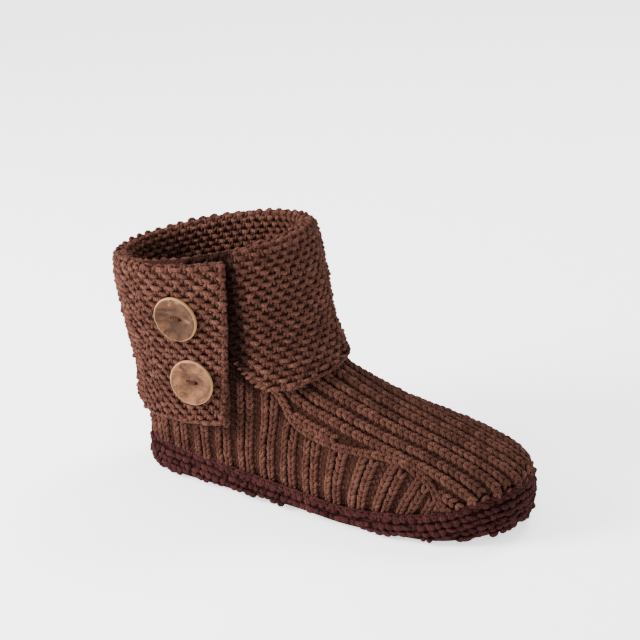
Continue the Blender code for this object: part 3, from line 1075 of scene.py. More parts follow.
class Finish:
    """One procedural material, built up from its nodes."""

    def __init__(self, name, roughness, specular, **settings):
        self.material = bpy.data.materials.new(name)
        self.material.use_nodes = True
        self.tree = self.material.node_tree
        self.shader = self.tree.nodes["Principled BSDF"]
        self.shader.inputs["Roughness"].default_value = roughness
        self.shader.inputs["Specular IOR Level"].default_value = specular
        for key, value in settings.items():
            self.shader.inputs[key.replace("_", " ").title()].default_value = value

    def feed(self, socket, value):
        """Gives a socket a number, a colour or what a thread carries."""
        if isinstance(value, Thread):
            self.tree.links.new(value.socket, socket)
        else:
            socket.default_value = value

    def node(self, kind, settings, inputs, output=0):
        """Any node, by its type, its settings and what goes into it."""
        made = self.tree.nodes.new(kind)
        for key, value in settings.items():
            if key == "stops":
                ramp = made.color_ramp
                while len(ramp.elements) < len(value):
                    ramp.elements.new(1.0)
                for element, (place, colour) in zip(ramp.elements, value):
                    element.position = place
                    element.color = colour
            else:
                setattr(made, key, value)
        for key, value in inputs.items():
            self.feed(made.inputs[key], value)
        return Thread(self, made.outputs[output])

    def coords(self, kind):
        """Where a point lies, on the object or on its UV map."""
        return self.node("ShaderNodeTexCoord", {}, {}, kind)

    def attribute(self, name):
        """A value that the mesh itself carries."""
        return self.node("ShaderNodeAttribute", {"attribute_name": name}, {}, "Fac")

    def noise(self, where, scale, detail=3.0, roughness=0.55, warp=0.0):
        """Soft noise."""
        inputs = {"Vector": where, "Scale": scale, "Detail": detail, "Roughness": roughness}
        return self.node("ShaderNodeTexNoise", {}, {**inputs, "Distortion": warp})

    def stretched(self, where, scale):
        """Coordinates stretched along their axes."""
        return self.node("ShaderNodeMapping", {}, {"Vector": where, "Scale": scale})

    def parts(self, where):
        """The three parts of a vector."""
        split = self.node("ShaderNodeSeparateXYZ", {}, {0: where})
        return [Thread(self, output) for output in split.socket.node.outputs]

    def mix(self, share, low, high):
        """One colour that goes over into another."""
        return self.node("ShaderNodeMix", {"data_type": "RGBA"}, {0: share, 6: low, 7: high}, 2)

    def span(self, value, low, high, to_low=0.0, to_high=1.0):
        """Maps a span of values onto another and stops at its ends."""
        inputs = {"Value": value, "From Min": low, "From Max": high}
        inputs.update({"To Min": to_low, "To Max": to_high})
        return self.node("ShaderNodeMapRange", {"clamp": True}, inputs)

    def raise_by(self, height, distance, strength=1.0):
        """Bumps the surface."""
        inputs = {"Height": height, "Distance": distance, "Strength": strength}
        self.feed(self.shader.inputs["Normal"], self.node("ShaderNodeBump", {}, inputs))

    def colour(self, value):
        """Colours the surface."""
        self.feed(self.shader.inputs["Base Color"], value)


def shaded(colour, share):
    """A colour made deeper or paler by a share."""
    return [part * share for part in colour]


def rgba(colour, share=1.0):
    """A colour with its alpha, for a socket."""
    return (*shaded(colour, share), 1.0)


def yarn_finish(name, deep, main, light):
    """Heathered wool yarn: two twisted plies and paler fibres, with painted shade towards each
    stitch's roots and beside the cuff's overlap.
    """
    made = Finish(name, 0.95, 0.04, sheen_weight=0.05, sheen_roughness=0.5,
                  sheen_tint=rgba(light))
    where = made.coords("Object")
    u, v, _ = made.parts(made.coords("UV"))
    shade = made.attribute("shade")
    crown = made.attribute("crown")
    twist = (u * 2.0 + v * 4.8 + shade).wave() * 0.5 + 0.5
    fibre = made.noise(where, 2100.0, 3.0, 0.7)
    cloud = made.noise(where, 240.0, 2.0)
    wide = made.noise(where, 28.0, 2.0)
    heather = made.span(fibre * 0.62 + cloud * 0.38, 0.39, 0.62)
    pale = made.mix(heather, rgba(main), rgba(light))
    tone = made.span(shade * 0.6 + wide * 0.6 + twist * 0.35, 0.25, 1.15)
    toned = made.mix(tone, rgba(main, 0.62), pale)
    # Painted shade: each stitch goes darker towards its roots, where the stitches lie in each
    # other's shade.
    depth = made.span(crown + twist * 0.12, 0.10, 0.82)
    plain = made.mix(depth, rgba(deep), toned)
    # Painted shade beside the cuff's overlap and in the corner under it, carried by the dim
    # attribute.
    made.colour(made.mix(made.attribute("dim"), plain, rgba(deep, 0.55)))
    made.raise_by(twist * 0.65 + fibre * 0.9 + made.noise(where, 5200.0, 2.0) * 0.4, 0.0006)
    return made.material


def wall_finish(name, deep, main, columns, rows):
    """The fabric behind the stitches, with the bumps of its wrong side and painted shade between
    them.
    """
    made = Finish(name, 1.0, 0.02)
    where = made.coords("Object")
    u, v, _ = made.parts(made.coords("UV"))
    across = u.wave(columns)
    up = (v * (2.0 * math.pi * rows) + across * 1.2).sine()
    bumps = (up * 0.5 + 0.5) * ((across * 0.5 + 0.5) * 0.6 + 0.4)
    fibre = made.noise(where, 1500.0, 4.0, 0.7)
    # Painted shade: darker between the bumps.
    tone = made.span(bumps * 0.75 + fibre * 0.5, 0.25, 1.0)
    made.colour(made.mix(tone, rgba(deep), rgba(main)))
    made.raise_by(bumps + fibre * 0.35, 0.0011, 0.8)
    return made.material


def wood_finish(name, pale, brown, dark):
    """Marbled coconut-like wood: a pale turned edge round a clouded face, with painted shade
    darkening the middle of the dish.
    """
    made = Finish(name, 0.50, 0.02, coat_weight=0.07, coat_roughness=0.20)
    where = made.coords("Object")
    u, v, _ = made.parts(made.coords("UV"))
    far = ((u - 0.5) ** 2.0 + (v - 0.5) ** 2.0) ** 0.5 * 2.0
    cloud = made.noise(where, 95.0, 4.0, 0.6, 1.4)
    grain = made.noise(made.stretched(where, (1.0, 1.0, 5.0)), 420.0, 5.0, 0.65, 0.8)
    fleck = made.noise(where, 1900.0, 2.0, 0.6)
    stops = [(0.0, rgba(dark)), (0.38, rgba(brown)), (0.72, rgba(brown, 1.6)),
             (1.0, rgba(pale, 0.55))]
    clouded = made.span(cloud * 0.70 + grain * 0.30 + far * 0.08, 0.44, 0.70)
    marbled = made.node("ShaderNodeValToRGB", {"stops": stops}, {"Fac": clouded})
    edge = made.span(far + (cloud - 0.5) * 0.06, 0.925, 0.965)
    # Painted shade: the face goes darker towards the middle of its dish.
    painted_dish_shade = made.span(far + (cloud - 0.5) * 0.30, 0.10, 0.66, 0.66, 0.0)
    face = made.mix(made.span(fleck, 0.58, 0.72) * 0.30 + painted_dish_shade, marbled, rgba(dark))
    made.colour(made.mix(edge, face, rgba(pale)))
    made.raise_by(far.wave(26.0) * 0.10 + grain * 0.45 + fleck * 0.2, 0.00010, 0.6)
    made.feed(made.shader.inputs["Roughness"], made.span(grain, 0.3, 0.7, 0.24, 0.42))
    return made.material


def floor_finish(name, pale):
    """Matt pale paper under the slipper."""
    made = Finish(name, 0.85, 0.1, emission_color=rgba(pale), emission_strength=FLOOR_GLOW)
    where = made.coords("Object")
    made.colour(made.mix(made.noise(where, 3.0, 2.0), rgba(pale, 0.985), rgba(pale)))
    return made.material


# ---------------------------------------------------------------- settings


def length(name, description, default, least):
    """A length that a maker can set."""
    return FloatProperty(
        name=name, description=description, default=default, min=least, unit="LENGTH"
    )


def tone(name, description, default):
    """A colour that a maker can set."""
    return FloatVectorProperty(
        name=name, description=description, subtype="COLOR", default=default
    )


class BootieSizes(PropertyGroup):
    """Sizes of the knitting that a maker would change."""

    wale: length("Stitch width", "Width of one column of rib on the foot", 0.0040, 0.002)
    course: length("Row height", "Height of one row of rib on the foot", 0.0041, 0.002)
    seed_wide: length("Cuff stitch width", "Width of one column of the cuff", 0.0038, 0.002)
    seed_high: length("Cuff row height", "Height of one row of the cuff", 0.0038, 0.002)
    sole_wide: length("Sole stitch width", "Width of one bump of the sole", 0.0050, 0.003)
    sole_high: length("Sole row height", "Height of one row of the sole", 0.0042, 0.003)
    relief: length(
        "Rib relief", "How far the knit ribs stand over the purl ones", 0.0013, 0.0
    )
    seed: IntProperty(
        name="Unevenness",
        description="Start of the small unevenness of hand knitting",
        default=7,
    )


class BootieColours(PropertyGroup):
    """Colours of yarn, wood and floor."""

    # The gap colours are painted shade: the yarn darkens to them at the roots of its stitches,
    # between the bumps of the walls and beside the cuff's overlap.
    yarn_deep: tone("Yarn gaps", "Colour between the stitches", (0.0210, 0.0077, 0.0056))
    yarn_main: tone("Yarn", "Main colour of the wool", (0.0600, 0.0222, 0.0154))
    yarn_light: tone(
        "Yarn highlights", "Paler fibres of the heathered wool", (0.1340, 0.0570, 0.0410)
    )
    # Painted shade of the sole, as for the yarn above.
    sole_deep: tone(
        "Sole gaps", "Colour between the bumps of the sole", (0.0105, 0.0033, 0.0034)
    )
    sole_main: tone("Sole yarn", "Main colour of the dark sole", (0.0275, 0.0082, 0.0078))
    sole_light: tone(
        "Sole highlights", "Paler fibres of the sole's wool", (0.0560, 0.0172, 0.0165)
    )
    wood_pale: tone("Wood edge", "Pale turned edge of the buttons", (0.250, 0.135, 0.062))
    wood_brown: tone("Wood", "Middle tone of the buttons", (0.060, 0.026, 0.0130))
    wood_dark: tone("Wood clouds", "Dark clouds in the buttons", (0.022, 0.0100, 0.0060))
    floor: tone("Floor", "Colour of the studio floor", (0.93, 0.93, 0.93))


def finish_named(name):
    """A finish that an earlier operator made, or a fresh one."""
    found = bpy.data.materials.get(name)
    if found:
        return found
    tones = bpy.context.scene.bootie_colours
    deep, main, light = tones.yarn_deep, tones.yarn_main, tones.yarn_light
    pale, brown, dark = tones.wood_pale, tones.wood_brown, tones.wood_dark
    recipes = {
        "brown_yarn": (yarn_finish, deep, main, light),
        # Painted shade: a darker copy of the cuff's yarn that dims the foot's ribs and ridge.
        "brown_foot": (yarn_finish, deep, shaded(main, 0.86), shaded(light, 0.84)),
        # Painted shade: a darker copy still of the yarn for the purl valleys between the ribs.
        "brown_valley": (yarn_finish, deep, shaded(main, 0.48), shaded(light, 0.42)),
        "dark_yarn": (yarn_finish, tones.sole_deep, tones.sole_main, tones.sole_light),
        # Painted shade: a darker copy of the yarn for the outer face of the walls, seen in the
        # gaps between the stitches.
        "brown_gaps": (wall_finish, deep, shaded(main, 0.45), 140.0, 30.0),
        "brown_lining": (wall_finish, deep, main, 140.0, 40.0),
        # The sole's body: its own yarn colour with painted shade between the bumps of its wall.
        "dark_gaps": (wall_finish, tones.sole_deep, tones.sole_main, 90.0, 16.0),
        "marbled_wood": (wood_finish, pale, shaded(brown, 0.72), dark),
        "pale_wood": (wood_finish, pale, shaded(brown, 1.5), shaded(dark, 1.7)),
        "studio_paper": (floor_finish, tones.floor),
    }
    if name not in recipes:
        raise RuntimeError(f"no finish is called {name}")
    make, *ingredients = recipes[name]
    return make(name, *ingredients)


# ---------------------------------------------------------------- operators


class BOOTIE_OT_upper_wall(Operator):
    """The upper's wall behind its stitches"""

    bl_idname = "bootie.upper_wall"
    bl_label = "Upper wall"

    def execute(self, context):
        turns = even_turns(WALL_COLUMNS)
        outside = np.array([upper_ring(turns, step) for step in np.linspace(0.0, 1.0, 45)])
        round_it = np.roll(outside, -1, axis=1) - np.roll(outside, 1, axis=1)
        facing = np.cross(round_it, np.gradient(outside, axis=0))
        for end in (0, -1):
            facing[end, :, 2] = 0.0
        facing = unit(facing)
        inside = (outside - facing * WALL)[::-1]
        stack = np.concatenate([outside - facing * SINK, inside])
        rows = len(stack)
        bm = bmesh.new()
        stacked_grid(bm, stack, WALL_COLUMNS, rows)
        half = len(outside) / rows
        layer = bm.loops.layers.uv.verify()
        for face in bm.faces:
            middle = sum(loop[layer].uv.y for loop in face.loops) / len(face.loops)
            face.material_index = 0 if middle < half - 0.5 / rows else 1
        # Outer faces take the wall finish with painted shade, inner faces the lining.
        show("upper_wall", as_mesh("upper_wall", bm), ("brown_gaps", "brown_lining"),
             ("upper",))
        return {"FINISHED"}


class BOOTIE_OT_side_ribs(Operator):
    """Upright ribs round the heel and along both sides of the foot"""

    bl_idname = "bootie.side_ribs"
    bl_label = "Side ribs"

    def execute(self, context):
        sizes = context.scene.bootie_sizes
        ring = outline_ring(ALL_ROUND, -RIM_BULGE)
        ring = np.column_stack([ring, rim_top(ring[:, 0]) + 0.0012])
        walked = path_lengths(ring)
        count = int(round(walked[-1] / sizes.wale / 4.0)) * 4
        even = np.arange(count) * walked[-1] / count
        starts = np.stack([np.interp(even, walked, ring[:, k]) for k in range(3)], 1)

        def heading(spots):
            lean = 0.55 * soft_step(spots[:, 0] / LENGTH, 0.50, 0.86)
            return np.stack([lean, lean * 0.0, lean * 0.0 + 1.0], 1)

        rows = int(SIDE_CLIMB / sizes.course)
        spots, ways, facings = climb(starts, heading, rows, sizes.course)
        over = np.roll(spots, -1, axis=1) - np.roll(spots, 1, axis=1)
        wide = np.linalg.norm(over, axis=2) / 2.0
        column = np.tile(np.arange(count), (rows + 1, 1))
        under = above_ridge(spots) < SIDE_UNDER
        clear = (cuff_low(spots) < SIDE_TUCK) | (spots[..., 0] >= SIDE_REAR)
        good = np.minimum.accumulate(under & clear & (spots[..., 0] < SIDE_TO), axis=0)
        found = as_spots(spots.reshape(-1, 3), ways.reshape(-1, 3), facings.reshape(-1, 3),
                         wide.ravel(), column.ravel())
        found = keep(found, good.ravel())
        found["dim"] = corner_dim(found["place"])
        sow_ribs("side", found, 1.0, 0.31, 1.24, 1.34, sizes.seed)
        return {"FINISHED"}


class BOOTIE_OT_instep_ribs(Operator):
    """Lengthwise ribs over the instep and toe"""

    bl_idname = "bootie.instep_ribs"
    bl_label = "Instep ribs"

    def execute(self, context):
        sizes = context.scene.bootie_sizes
        steps = np.linspace(0.0, 1.0, 90)
        place = table(PANEL, steps, 1) * LENGTH
        height = table(PANEL, steps, 2) * INSTEP_HEIGHT
        tilt = np.radians(table(PANEL, steps, 3))
        angles = np.radians(np.linspace(-125.0, 125.0, 151))[:, None]
        columns = int(PANEL_REACH / sizes.wale)
        ways = (np.arange(-columns, columns) + 0.5) * sizes.wale
        lines = []
        for x, z, lean in zip(place, height, tilt):
            foot = np.array([x, 0.0, z])
            up = np.array([math.sin(lean), 0.0, math.cos(lean)])
            heading = np.cos(angles) * up + np.sin(angles) * np.array([0.0, 1.0, 0.0])
            curve = foot + heading * reach(gauge_at, foot, heading, 0.14)[:, None]
            walked = path_lengths(curve)
            walked -= walked[len(angles) // 2]
            lines.append(np.stack([np.interp(ways, walked, curve[:, k]) for k in range(3)], 1))
        grid = np.array(lines).transpose(1, 0, 2)
        found = rows_on_grid(grid, sizes.course, -1.0)
        spots = found["place"]
        found["facing"] = slope(spots)
        over = spots[:, 2] - rim_top(spots[:, 0])
        knit = (found["column"] + 1) % 4 < 2
        seam = over > np.where(knit, -0.0016, 0.0010)
        above = above_ridge(spots) > PANEL_ABOVE
        covered = cuff_low(spots) < PANEL_TUCK
        found["lap"] = PANEL_LAP * (1.0 - soft_step(over, -0.001, 0.007))
        found = keep(found, seam & above & covered & (spots[:, 0] > PANEL_FROM))
        sow_ribs("instep", found, -1.0, 0.43, 1.50, 1.30, sizes.seed + 2)
        return {"FINISHED"}


class BOOTIE_OT_ridge(Operator):
    """Raised line of stitches where the instep panel joins the sides"""

    bl_idname = "bootie.ridge"
    bl_label = "Ridge"

    def execute(self, context):
        sizes = context.scene.bootie_sizes
        groups = []
        for side in (-1, 1):
            line = settle(ridge_line(side, 200))
            groups.append(chain_on(line, slope(line), sizes.course * 1.05, sizes.wale * 1.15))
        # The ridge takes the foot's darker yarn, painted shade.
        sow("ridge_stitches", knit_stitch(), together(*groups), sizes.course * 1.08,
            sizes.relief * 0.7 - SINK, "brown_foot", sizes.seed + 4, wide=1.15, thick=1.2)
        return {"FINISHED"}


def cuff_turns(count=None):
    """Turns round the cuff that lie the same way apart at most of its height."""
    turns = np.linspace(CUFF_START, CUFF_END, 800)
    z = turns * 0.0 + SHAFT_HEIGHT * 0.72
    walked = path_lengths(cuff_point(turns, z, 1.0))
    if count is None:
        count = int(round(walked[-1] / bpy.context.scene.bootie_sizes.seed_wide))
    return np.interp(np.linspace(0.0, walked[-1], count), walked, turns)


def cuff_ends(turns):
    """The cuff's lower edge, its seat on the collar, and how far its fold goes inside."""
    low = table(CUFF_EDGE, turns, 1) * SHAFT_HEIGHT
    return low, collar_at(turns) + CLEAR, 1.0 - soft_step(turns, CAP_FROM, CAP_TO)


class BOOTIE_OT_cuff_wall(Operator):
    """The cuff's fabric behind its stitches"""

    bl_idname = "bootie.cuff_wall"
    bl_label = "Cuff wall"

    def execute(self, context):
        turns = cuff_turns(190)
        low, seat, cap = cuff_ends(turns)
        rings = []
        for share, lift, depth in CUFF_SIDE:
            z = low + (seat - low) * share + CUFF_THICK * lift
            rings.append(cuff_point(leaned(turns, z), z, depth))
        for lift, depth in CUFF_CAP:
            rings.append(cap_ring(turns, seat, cap, lift, depth))
        bm = bmesh.new()
        stacked_grid(bm, np.array(rings), len(turns) - 1, len(rings))
        bmesh.ops.remove_doubles(bm, verts=bm.verts, dist=0.00002)
        bmesh.ops.holes_fill(bm, edges=[e for e in bm.edges if e.is_boundary], sides=0)
        # The cuff's wall takes the wall finish with painted shade.
        show("cuff_wall", as_mesh("cuff_wall", bm), ("brown_gaps",), ("cuff",))
        return {"FINISHED"}


def cap_ring(turns, seat, cap, lift, depth):
    """One ring of the fold over the collar, from the outer face to the inside."""
    z = seat + (CUFF_THICK - CUFF_SINK) * lift
    turn = leaned(turns, z)
    layer = cuff_layer(turn, z)
    thick = CUFF_THICK + cuff_roll(turn, z) - CUFF_SINK
    out = (layer + thick) * (1.0 - depth) + (layer - (layer + WALL) * cap) * depth
    return shaft_point(turn, z, out)


def cuff_columns(turns, inner):
    """Columns from the top of the fold down the cuff's outer or inner face."""
    low, seat, cap = cuff_ends(turns)
    rows = CUFF_CAP[2:5] if inner else CUFF_CAP[2::-1]
    rings = [cap_ring(turns, seat, cap, lift, depth) for lift, depth in rows]
    if inner:
        for drop in np.linspace(0.0, 0.034, 12):
            rings.append(shaft_point(turns, seat - drop, turns * 0.0 - WALL))
    else:
        for share in np.linspace(1.0, 0.0, 26):
            z = low + (seat - low) * share
            rings.append(cuff_point(leaned(turns, z), z, 1.0))
    return np.array(rings).transpose(1, 0, 2)


def button_matrix(turn, height, lean):
    """Place and facing of a button on the cuff, as the frame has it."""
    z = height * SHAFT_HEIGHT
    near = np.array([turn, turn + 2.0, turn - 2.0])
    level = cuff_point(near, near * 0.0 + z, 1.0, 0.0)
    along = Vector(level[1] - level[2]).normalized()
    facing = along.cross(Vector((0.0, 0.0, 1.0))).normalized()
    tilt = math.radians(lean)
    facing = (facing * math.cos(tilt) + Vector((0.0, 0.0, math.sin(tilt)))).normalized()
    upward = facing.cross(along).normalized()
    middle = Vector(level[0])
    spread = np.linspace(-1.0, 1.0, 17)
    across, up = [grid.ravel() for grid in np.meshgrid(spread, spread)]
    sweep = math.degrees(BUTTON_WIDTH / BALL_WIDTH)
    around = cuff_point(turn + across * sweep, z + up * BUTTON_WIDTH / 2.0, 1.0, 0.0)
    off = around - np.array(middle)
    side = off @ np.array(along)
    rise = off @ np.array(upward)
    under = np.hypot(side, rise) < BUTTON_WIDTH * 0.44
    stand_off = float((off @ np.array(facing))[under].max()) + CLEAR
    turned = Matrix((along, upward, facing)).transposed().to_4x4()
    return Matrix.Translation(middle + facing * stand_off) @ turned


class BOOTIE_OT_cuff_stitches(Operator):
    """Seed stitch all over the cuff, its fold and a little way inside"""

    bl_idname = "bootie.cuff_stitches"
    bl_label = "Cuff stitches"

    def execute(self, context):
        sizes = context.scene.bootie_sizes
        turns = cuff_turns()
        shown = turns > -80.0
        outer = rows_on_grid(cuff_columns(turns[shown], False), sizes.seed_high, -1.0)
        outer["column"] += int(np.argmax(shown))
        outer["dim"] = gap_dim(turns[outer["column"]])
        groups = [outer]
        first = turns < CAP_FROM - 1.0
        for part, deep in ((first, True), (~first, False)):
            lining = rows_on_grid(cuff_columns(turns[part], True), sizes.seed_high, 1.0)
            lining["column"] += int(np.argmax(part))
            lining["row"] += 1
            groups.append(lining if deep else keep(lining, lining["row"] < 4))
        found = together(*groups)
        press = np.zeros(len(found["place"]))
        for seat in BUTTONS.values():
            middle = np.array(button_matrix(*seat).translation)
            away = np.linalg.norm(found["place"] - middle, axis=1)
            press += 0.0013 * (1.0 - soft_step(away, BUTTON_WIDTH * 0.36, BUTTON_WIDTH * 0.56))
        bump = (found["column"] + found["row"]) % 2 == 0
        press += np.where(found["row"] < 3, 0.0005, 0.0)
        slant = unit(np.cross(found["along"], found["facing"])) * 0.14
        found["along"] = unit(found["along"] + slant)
        sow("cuff_purl", purl_stitch(0.41, 0.30), keep(found, bump), sizes.seed_high,
            0.0002 - press[bump], "brown_yarn", sizes.seed + 5, wide=1.16, thick=1.02, loose=2.0)
        sow("cuff_knit", knit_stitch(6, 5), keep(found, ~bump), sizes.seed_high,
            -0.0001 - press[~bump], "brown_yarn", sizes.seed + 6, wide=1.08, thick=1.05,
            loose=1.8)
        return {"FINISHED"}


def edge_chains(inner, outer, onwards, tips):
    """Chains of edge stitches between the cuff's faces, each at a depth and a tip."""
    sizes = bpy.context.scene.bootie_sizes
    across = unit(outer - inner)
    chains = []
    for depth, tip in tips:
        path = inner + (outer - inner) * depth
        facing = unit(onwards + across * tip)
        chains.append(chain_on(path, facing, sizes.seed_high, sizes.seed_wide))
    return chains


class BOOTIE_OT_cuff_edges(Operator):
    """Chained edge stitches along the cuff's lower edge and its upright end"""

    bl_idname = "bootie.cuff_edges"
    bl_label = "Cuff edges"

    def execute(self, context):
        sizes = context.scene.bootie_sizes
        turns = np.linspace(-56.0, CUFF_END, 500)
        low = table(CUFF_EDGE, turns, 1) * SHAFT_HEIGHT
        down = np.array([0.0, 0.0, -1.0])
        groups = edge_chains(cuff_point(turns, low, 0.0), cuff_point(turns, low, 1.0), down,
                             ((0.20, -0.45), (0.95, 0.75)))
        foot = float(table(CUFF_EDGE, CUFF_END, 1)) * SHAFT_HEIGHT
        top = float(collar_at(np.array([CUFF_END]))[0]) + CUFF_THICK * 0.9
        z = np.linspace(top, foot, 120)
        end = leaned(z * 0.0 + CUFF_END, z)
        forward = unit(cuff_point(end + 1.0, z, 0.5) - cuff_point(end - 1.0, z, 0.5))
        groups += edge_chains(cuff_point(end, z, 0.0), cuff_point(end, z, 1.0), forward,
                              ((0.25, -0.35), (0.85, 0.75)))
        sow("cuff_edge_stitches", knit_stitch(), together(*groups), sizes.seed_high, 0.0002,
            "brown_yarn", sizes.seed + 7, wide=1.25, thick=1.25, loose=1.6)
        return {"FINISHED"}


def sole_rings(turns, rows):
    """Rings round the sole's side at some turns."""
    rings = []
    for offset, share, lift in rows:
        ring = outline_ring(turns, offset * RIM_BULGE - SOLE_SINK)
        x = ring[:, 0]
        z = ground(x) + (rim_top(x) - ground(x)) * share + lift * RIM_BULGE
        rings.append(np.column_stack([ring, z]))
    return rings


class BOOTIE_OT_sole_body(Operator):
    """The sole's padded body behind its bumps"""

    bl_idname = "bootie.sole_body"
    bl_label = "Sole body"

    def execute(self, context):
        turns = even_turns(WALL_COLUMNS)
        profile = sole_rings(turns, RIM)
        ledge = outline_ring(turns, -RIM_BULGE - LEDGE)
        profile.append(np.column_stack([ledge, rim_top(ledge[:, 0])]))
        inner = outline_ring(turns, -RIM_BULGE - LEDGE - CLEAR)
        profile.append(np.column_stack([inner, ground(inner[:, 0]) + PAD]))

        def towards_middle(ring, share, lift):
            even = LENGTH / 2.0 * (1.0 + np.cos(turns))
            spine = np.clip(even, HEEL_ROUND * LENGTH, (1.0 - TOE_ROUND) * LENGTH)
            flat = np.column_stack([spine, ring[:, 1] * 0.0])
            flat = flat * share + ring[:, :2] * (1.0 - share)
            return np.column_stack([flat, ground(flat[:, 0]) + lift])

        first, last = profile[0], profile[-1]
        for share in (0.34, 0.67, 1.0):
            profile.insert(0, towards_middle(first, share, 0.0))
            profile.append(towards_middle(last, share, PAD))
        bm = bmesh.new()
        stacked_grid(bm, np.array(profile), WALL_COLUMNS, len(profile) - 1)
        # The sole's body takes its wall finish with painted shade between the bumps.
        show("sole_body", as_mesh("sole_body", bm), ("dark_gaps",), ("sole",))
        return {"FINISHED"}


class BOOTIE_OT_sole_stitches(Operator):
    """Dark bumps over the sole's raised edge and its underside"""

    bl_idname = "bootie.sole_stitches"
    bl_label = "Sole stitches"

    def execute(self, context):
        sizes = context.scene.bootie_sizes
        walked = path_lengths(outline_ring(ALL_ROUND, 0.0))
        count = int(round(walked[-1] / sizes.sole_wide / 2.0)) * 2
        groups = []
        for odd in (0, 1):
            even = (np.arange(count) + odd / 2.0) * walked[-1] / count
            turns = np.interp(even, walked, ALL_ROUND)
            grid = np.array(sole_rings(turns, RIM[::-1])).transpose(1, 0, 2)
            found = rows_on_grid(grid, sizes.sole_high, -1.0, 0.55)
            found["wide"] = np.full(len(found["wide"]), walked[-1] / count)
            groups.append(keep(found, found["row"] % 2 == odd))
        side = together(*groups)
        side = keep(side, side["facing"][:, 2] > -0.55)
        spots = []
        for index, x in enumerate(np.arange(UNDER_HEEL, LENGTH - UNDER_TOE, sizes.sole_high)):
            y = np.arange(*UNDER_SIDES, sizes.sole_wide) + (index % 2) * sizes.sole_wide / 2.0
            spots.append(np.column_stack([y * 0.0 + x, y]))
        spots = np.concatenate(spots)
        spots = spots[plan_gauge(spots[:, 0], spots[:, 1], RIM_BULGE * 3.4) < 1.0]
        ones = np.ones((len(spots), 1))
        under = as_spots(np.column_stack([spots, ground(spots[:, 0])]), ones * [1.0, 0.0, 0.0],
                         ones * [0.0, 0.0, -1.0], sizes.sole_wide)
        sow("sole_edge_stitches", purl_stitch(0.44, 0.42), side, sizes.sole_high, 0.0,
            "dark_yarn", sizes.seed + 8, wide=0.96, thick=0.84, loose=3.6)
        sow("sole_under_stitches", purl_stitch(0.36, 0.24), under, sizes.sole_high, -0.0002,
            "dark_yarn", sizes.seed + 9, wide=1.12, thick=0.5, loose=1.2)
        return {"FINISHED"}


class BOOTIE_OT_seam(Operator):
    """Sewn chain where the upper meets the sole"""

    bl_idname = "bootie.seam"
    bl_label = "Seam"

    def execute(self, context):
        sizes = context.scene.bootie_sizes
        ring = outline_ring(ALL_ROUND, -RIM_BULGE * 0.72)
        path = np.column_stack([ring, rim_top(ring[:, 0]) - 0.0002])
        out = unit(outline_ring(ALL_ROUND, 0.0) - outline_ring(ALL_ROUND, -0.002))
        facing = unit(np.column_stack([out, out[:, 0] * 0.0 + 0.85]))
        pitch = sizes.course * 1.15
        sow("seam_stitches", knit_stitch(), chain_on(path, facing, pitch, sizes.wale * 0.9),
            pitch, 0.0002, "dark_yarn", sizes.seed + 10, wide=1.0, thick=0.8)
        return {"FINISHED"}


class BOOTIE_OT_buttons(Operator):
    """Two turned wooden buttons with their thread"""

    bl_idname = "bootie.buttons"
    bl_label = "Buttons"

    def execute(self, context):
        for name, seat in BUTTONS.items():
            matrix = Matrix.Translation(Vector(SHIFT)) @ button_matrix(*seat)
            wood = "pale_wood" if name == "button_lower" else "marbled_wood"
            self.turn_disc(name, matrix, wood)
            self.draw_thread(name, matrix)
        return {"FINISHED"}

    def turn_disc(self, name, matrix, wood):
        """A dished disc with two drilled holes."""
        rows = len(BUTTON_SIDE) - 1

        def place(across, up):
            angle = across * 2.0 * math.pi
            side = np.array(BUTTON_SIDE)[np.rint(up * rows).astype(int)]
            radius = side[:, 0] * BUTTON_WIDTH / 2.0
            depth = side[:, 1] * BUTTON_THICK - side[:, 2] * BUTTON_DISH
            return np.stack([radius * np.cos(angle), radius * np.sin(angle), depth], 1)

        bm = bmesh.new()
        mapped_grid(bm, 96, rows, place)
        layer = bm.loops.layers.uv.verify()
        for face in bm.faces:
            for loop in face.loops:
                spot = loop.vert.co / BUTTON_WIDTH
                loop[layer].uv = (spot.x + 0.5, spot.y + 0.5)
        disc = linked(name + "_turned", as_mesh(name + "_turned", bm))
        bm = bmesh.new()
        for side in (-1.0, 1.0):
            bmesh.ops.create_cone(
                bm,
                cap_ends=True,
                segments=24,
                radius1=HOLE_WIDTH / 2.0,
                radius2=HOLE_WIDTH / 2.0,
                depth=BUTTON_THICK * 3.0,
                matrix=Matrix.Translation((side * HOLE_SPACING / 2.0, 0.0, 0.0)),
            )
        drill = linked(name + "_drill", as_mesh(name + "_drill", bm))
        cut = disc.modifiers.new("holes", "BOOLEAN")
        cut.operation = "DIFFERENCE"
        cut.solver = "EXACT"
        cut.object = drill
        mesh = evaluated(disc, (disc, drill))
        mesh.transform(matrix)
        show(name + "_disc", mesh, (wood,), (name,))

    def draw_thread(self, name, matrix):
        """Four strands of brown thread from hole to hole."""
        bm = bmesh.new()
        for lane in (-0.42, -0.14, 0.14, 0.42):

            def path(up, lane=lane):
                across = (up - 0.5) * (HOLE_SPACING + HOLE_WIDTH * 0.3)
                lift = BUTTON_THICK - BUTTON_DISH - 0.0012
                arch = 0.0017 * np.clip(1.0 - (2.0 * up - 1.0) ** 6, -1.0, 1.0)
                return np.stack([across, across * 0.0 + lane * HOLE_WIDTH * 0.8, lift + arch], 1)

            strand(bm, path, 0.00036, 0.2, 7, 14)
        mesh = grade_height(as_mesh(name + "_thread", bm, 0.000005))
        mesh.transform(matrix)
        show(name + "_thread", mesh, ("brown_yarn",))


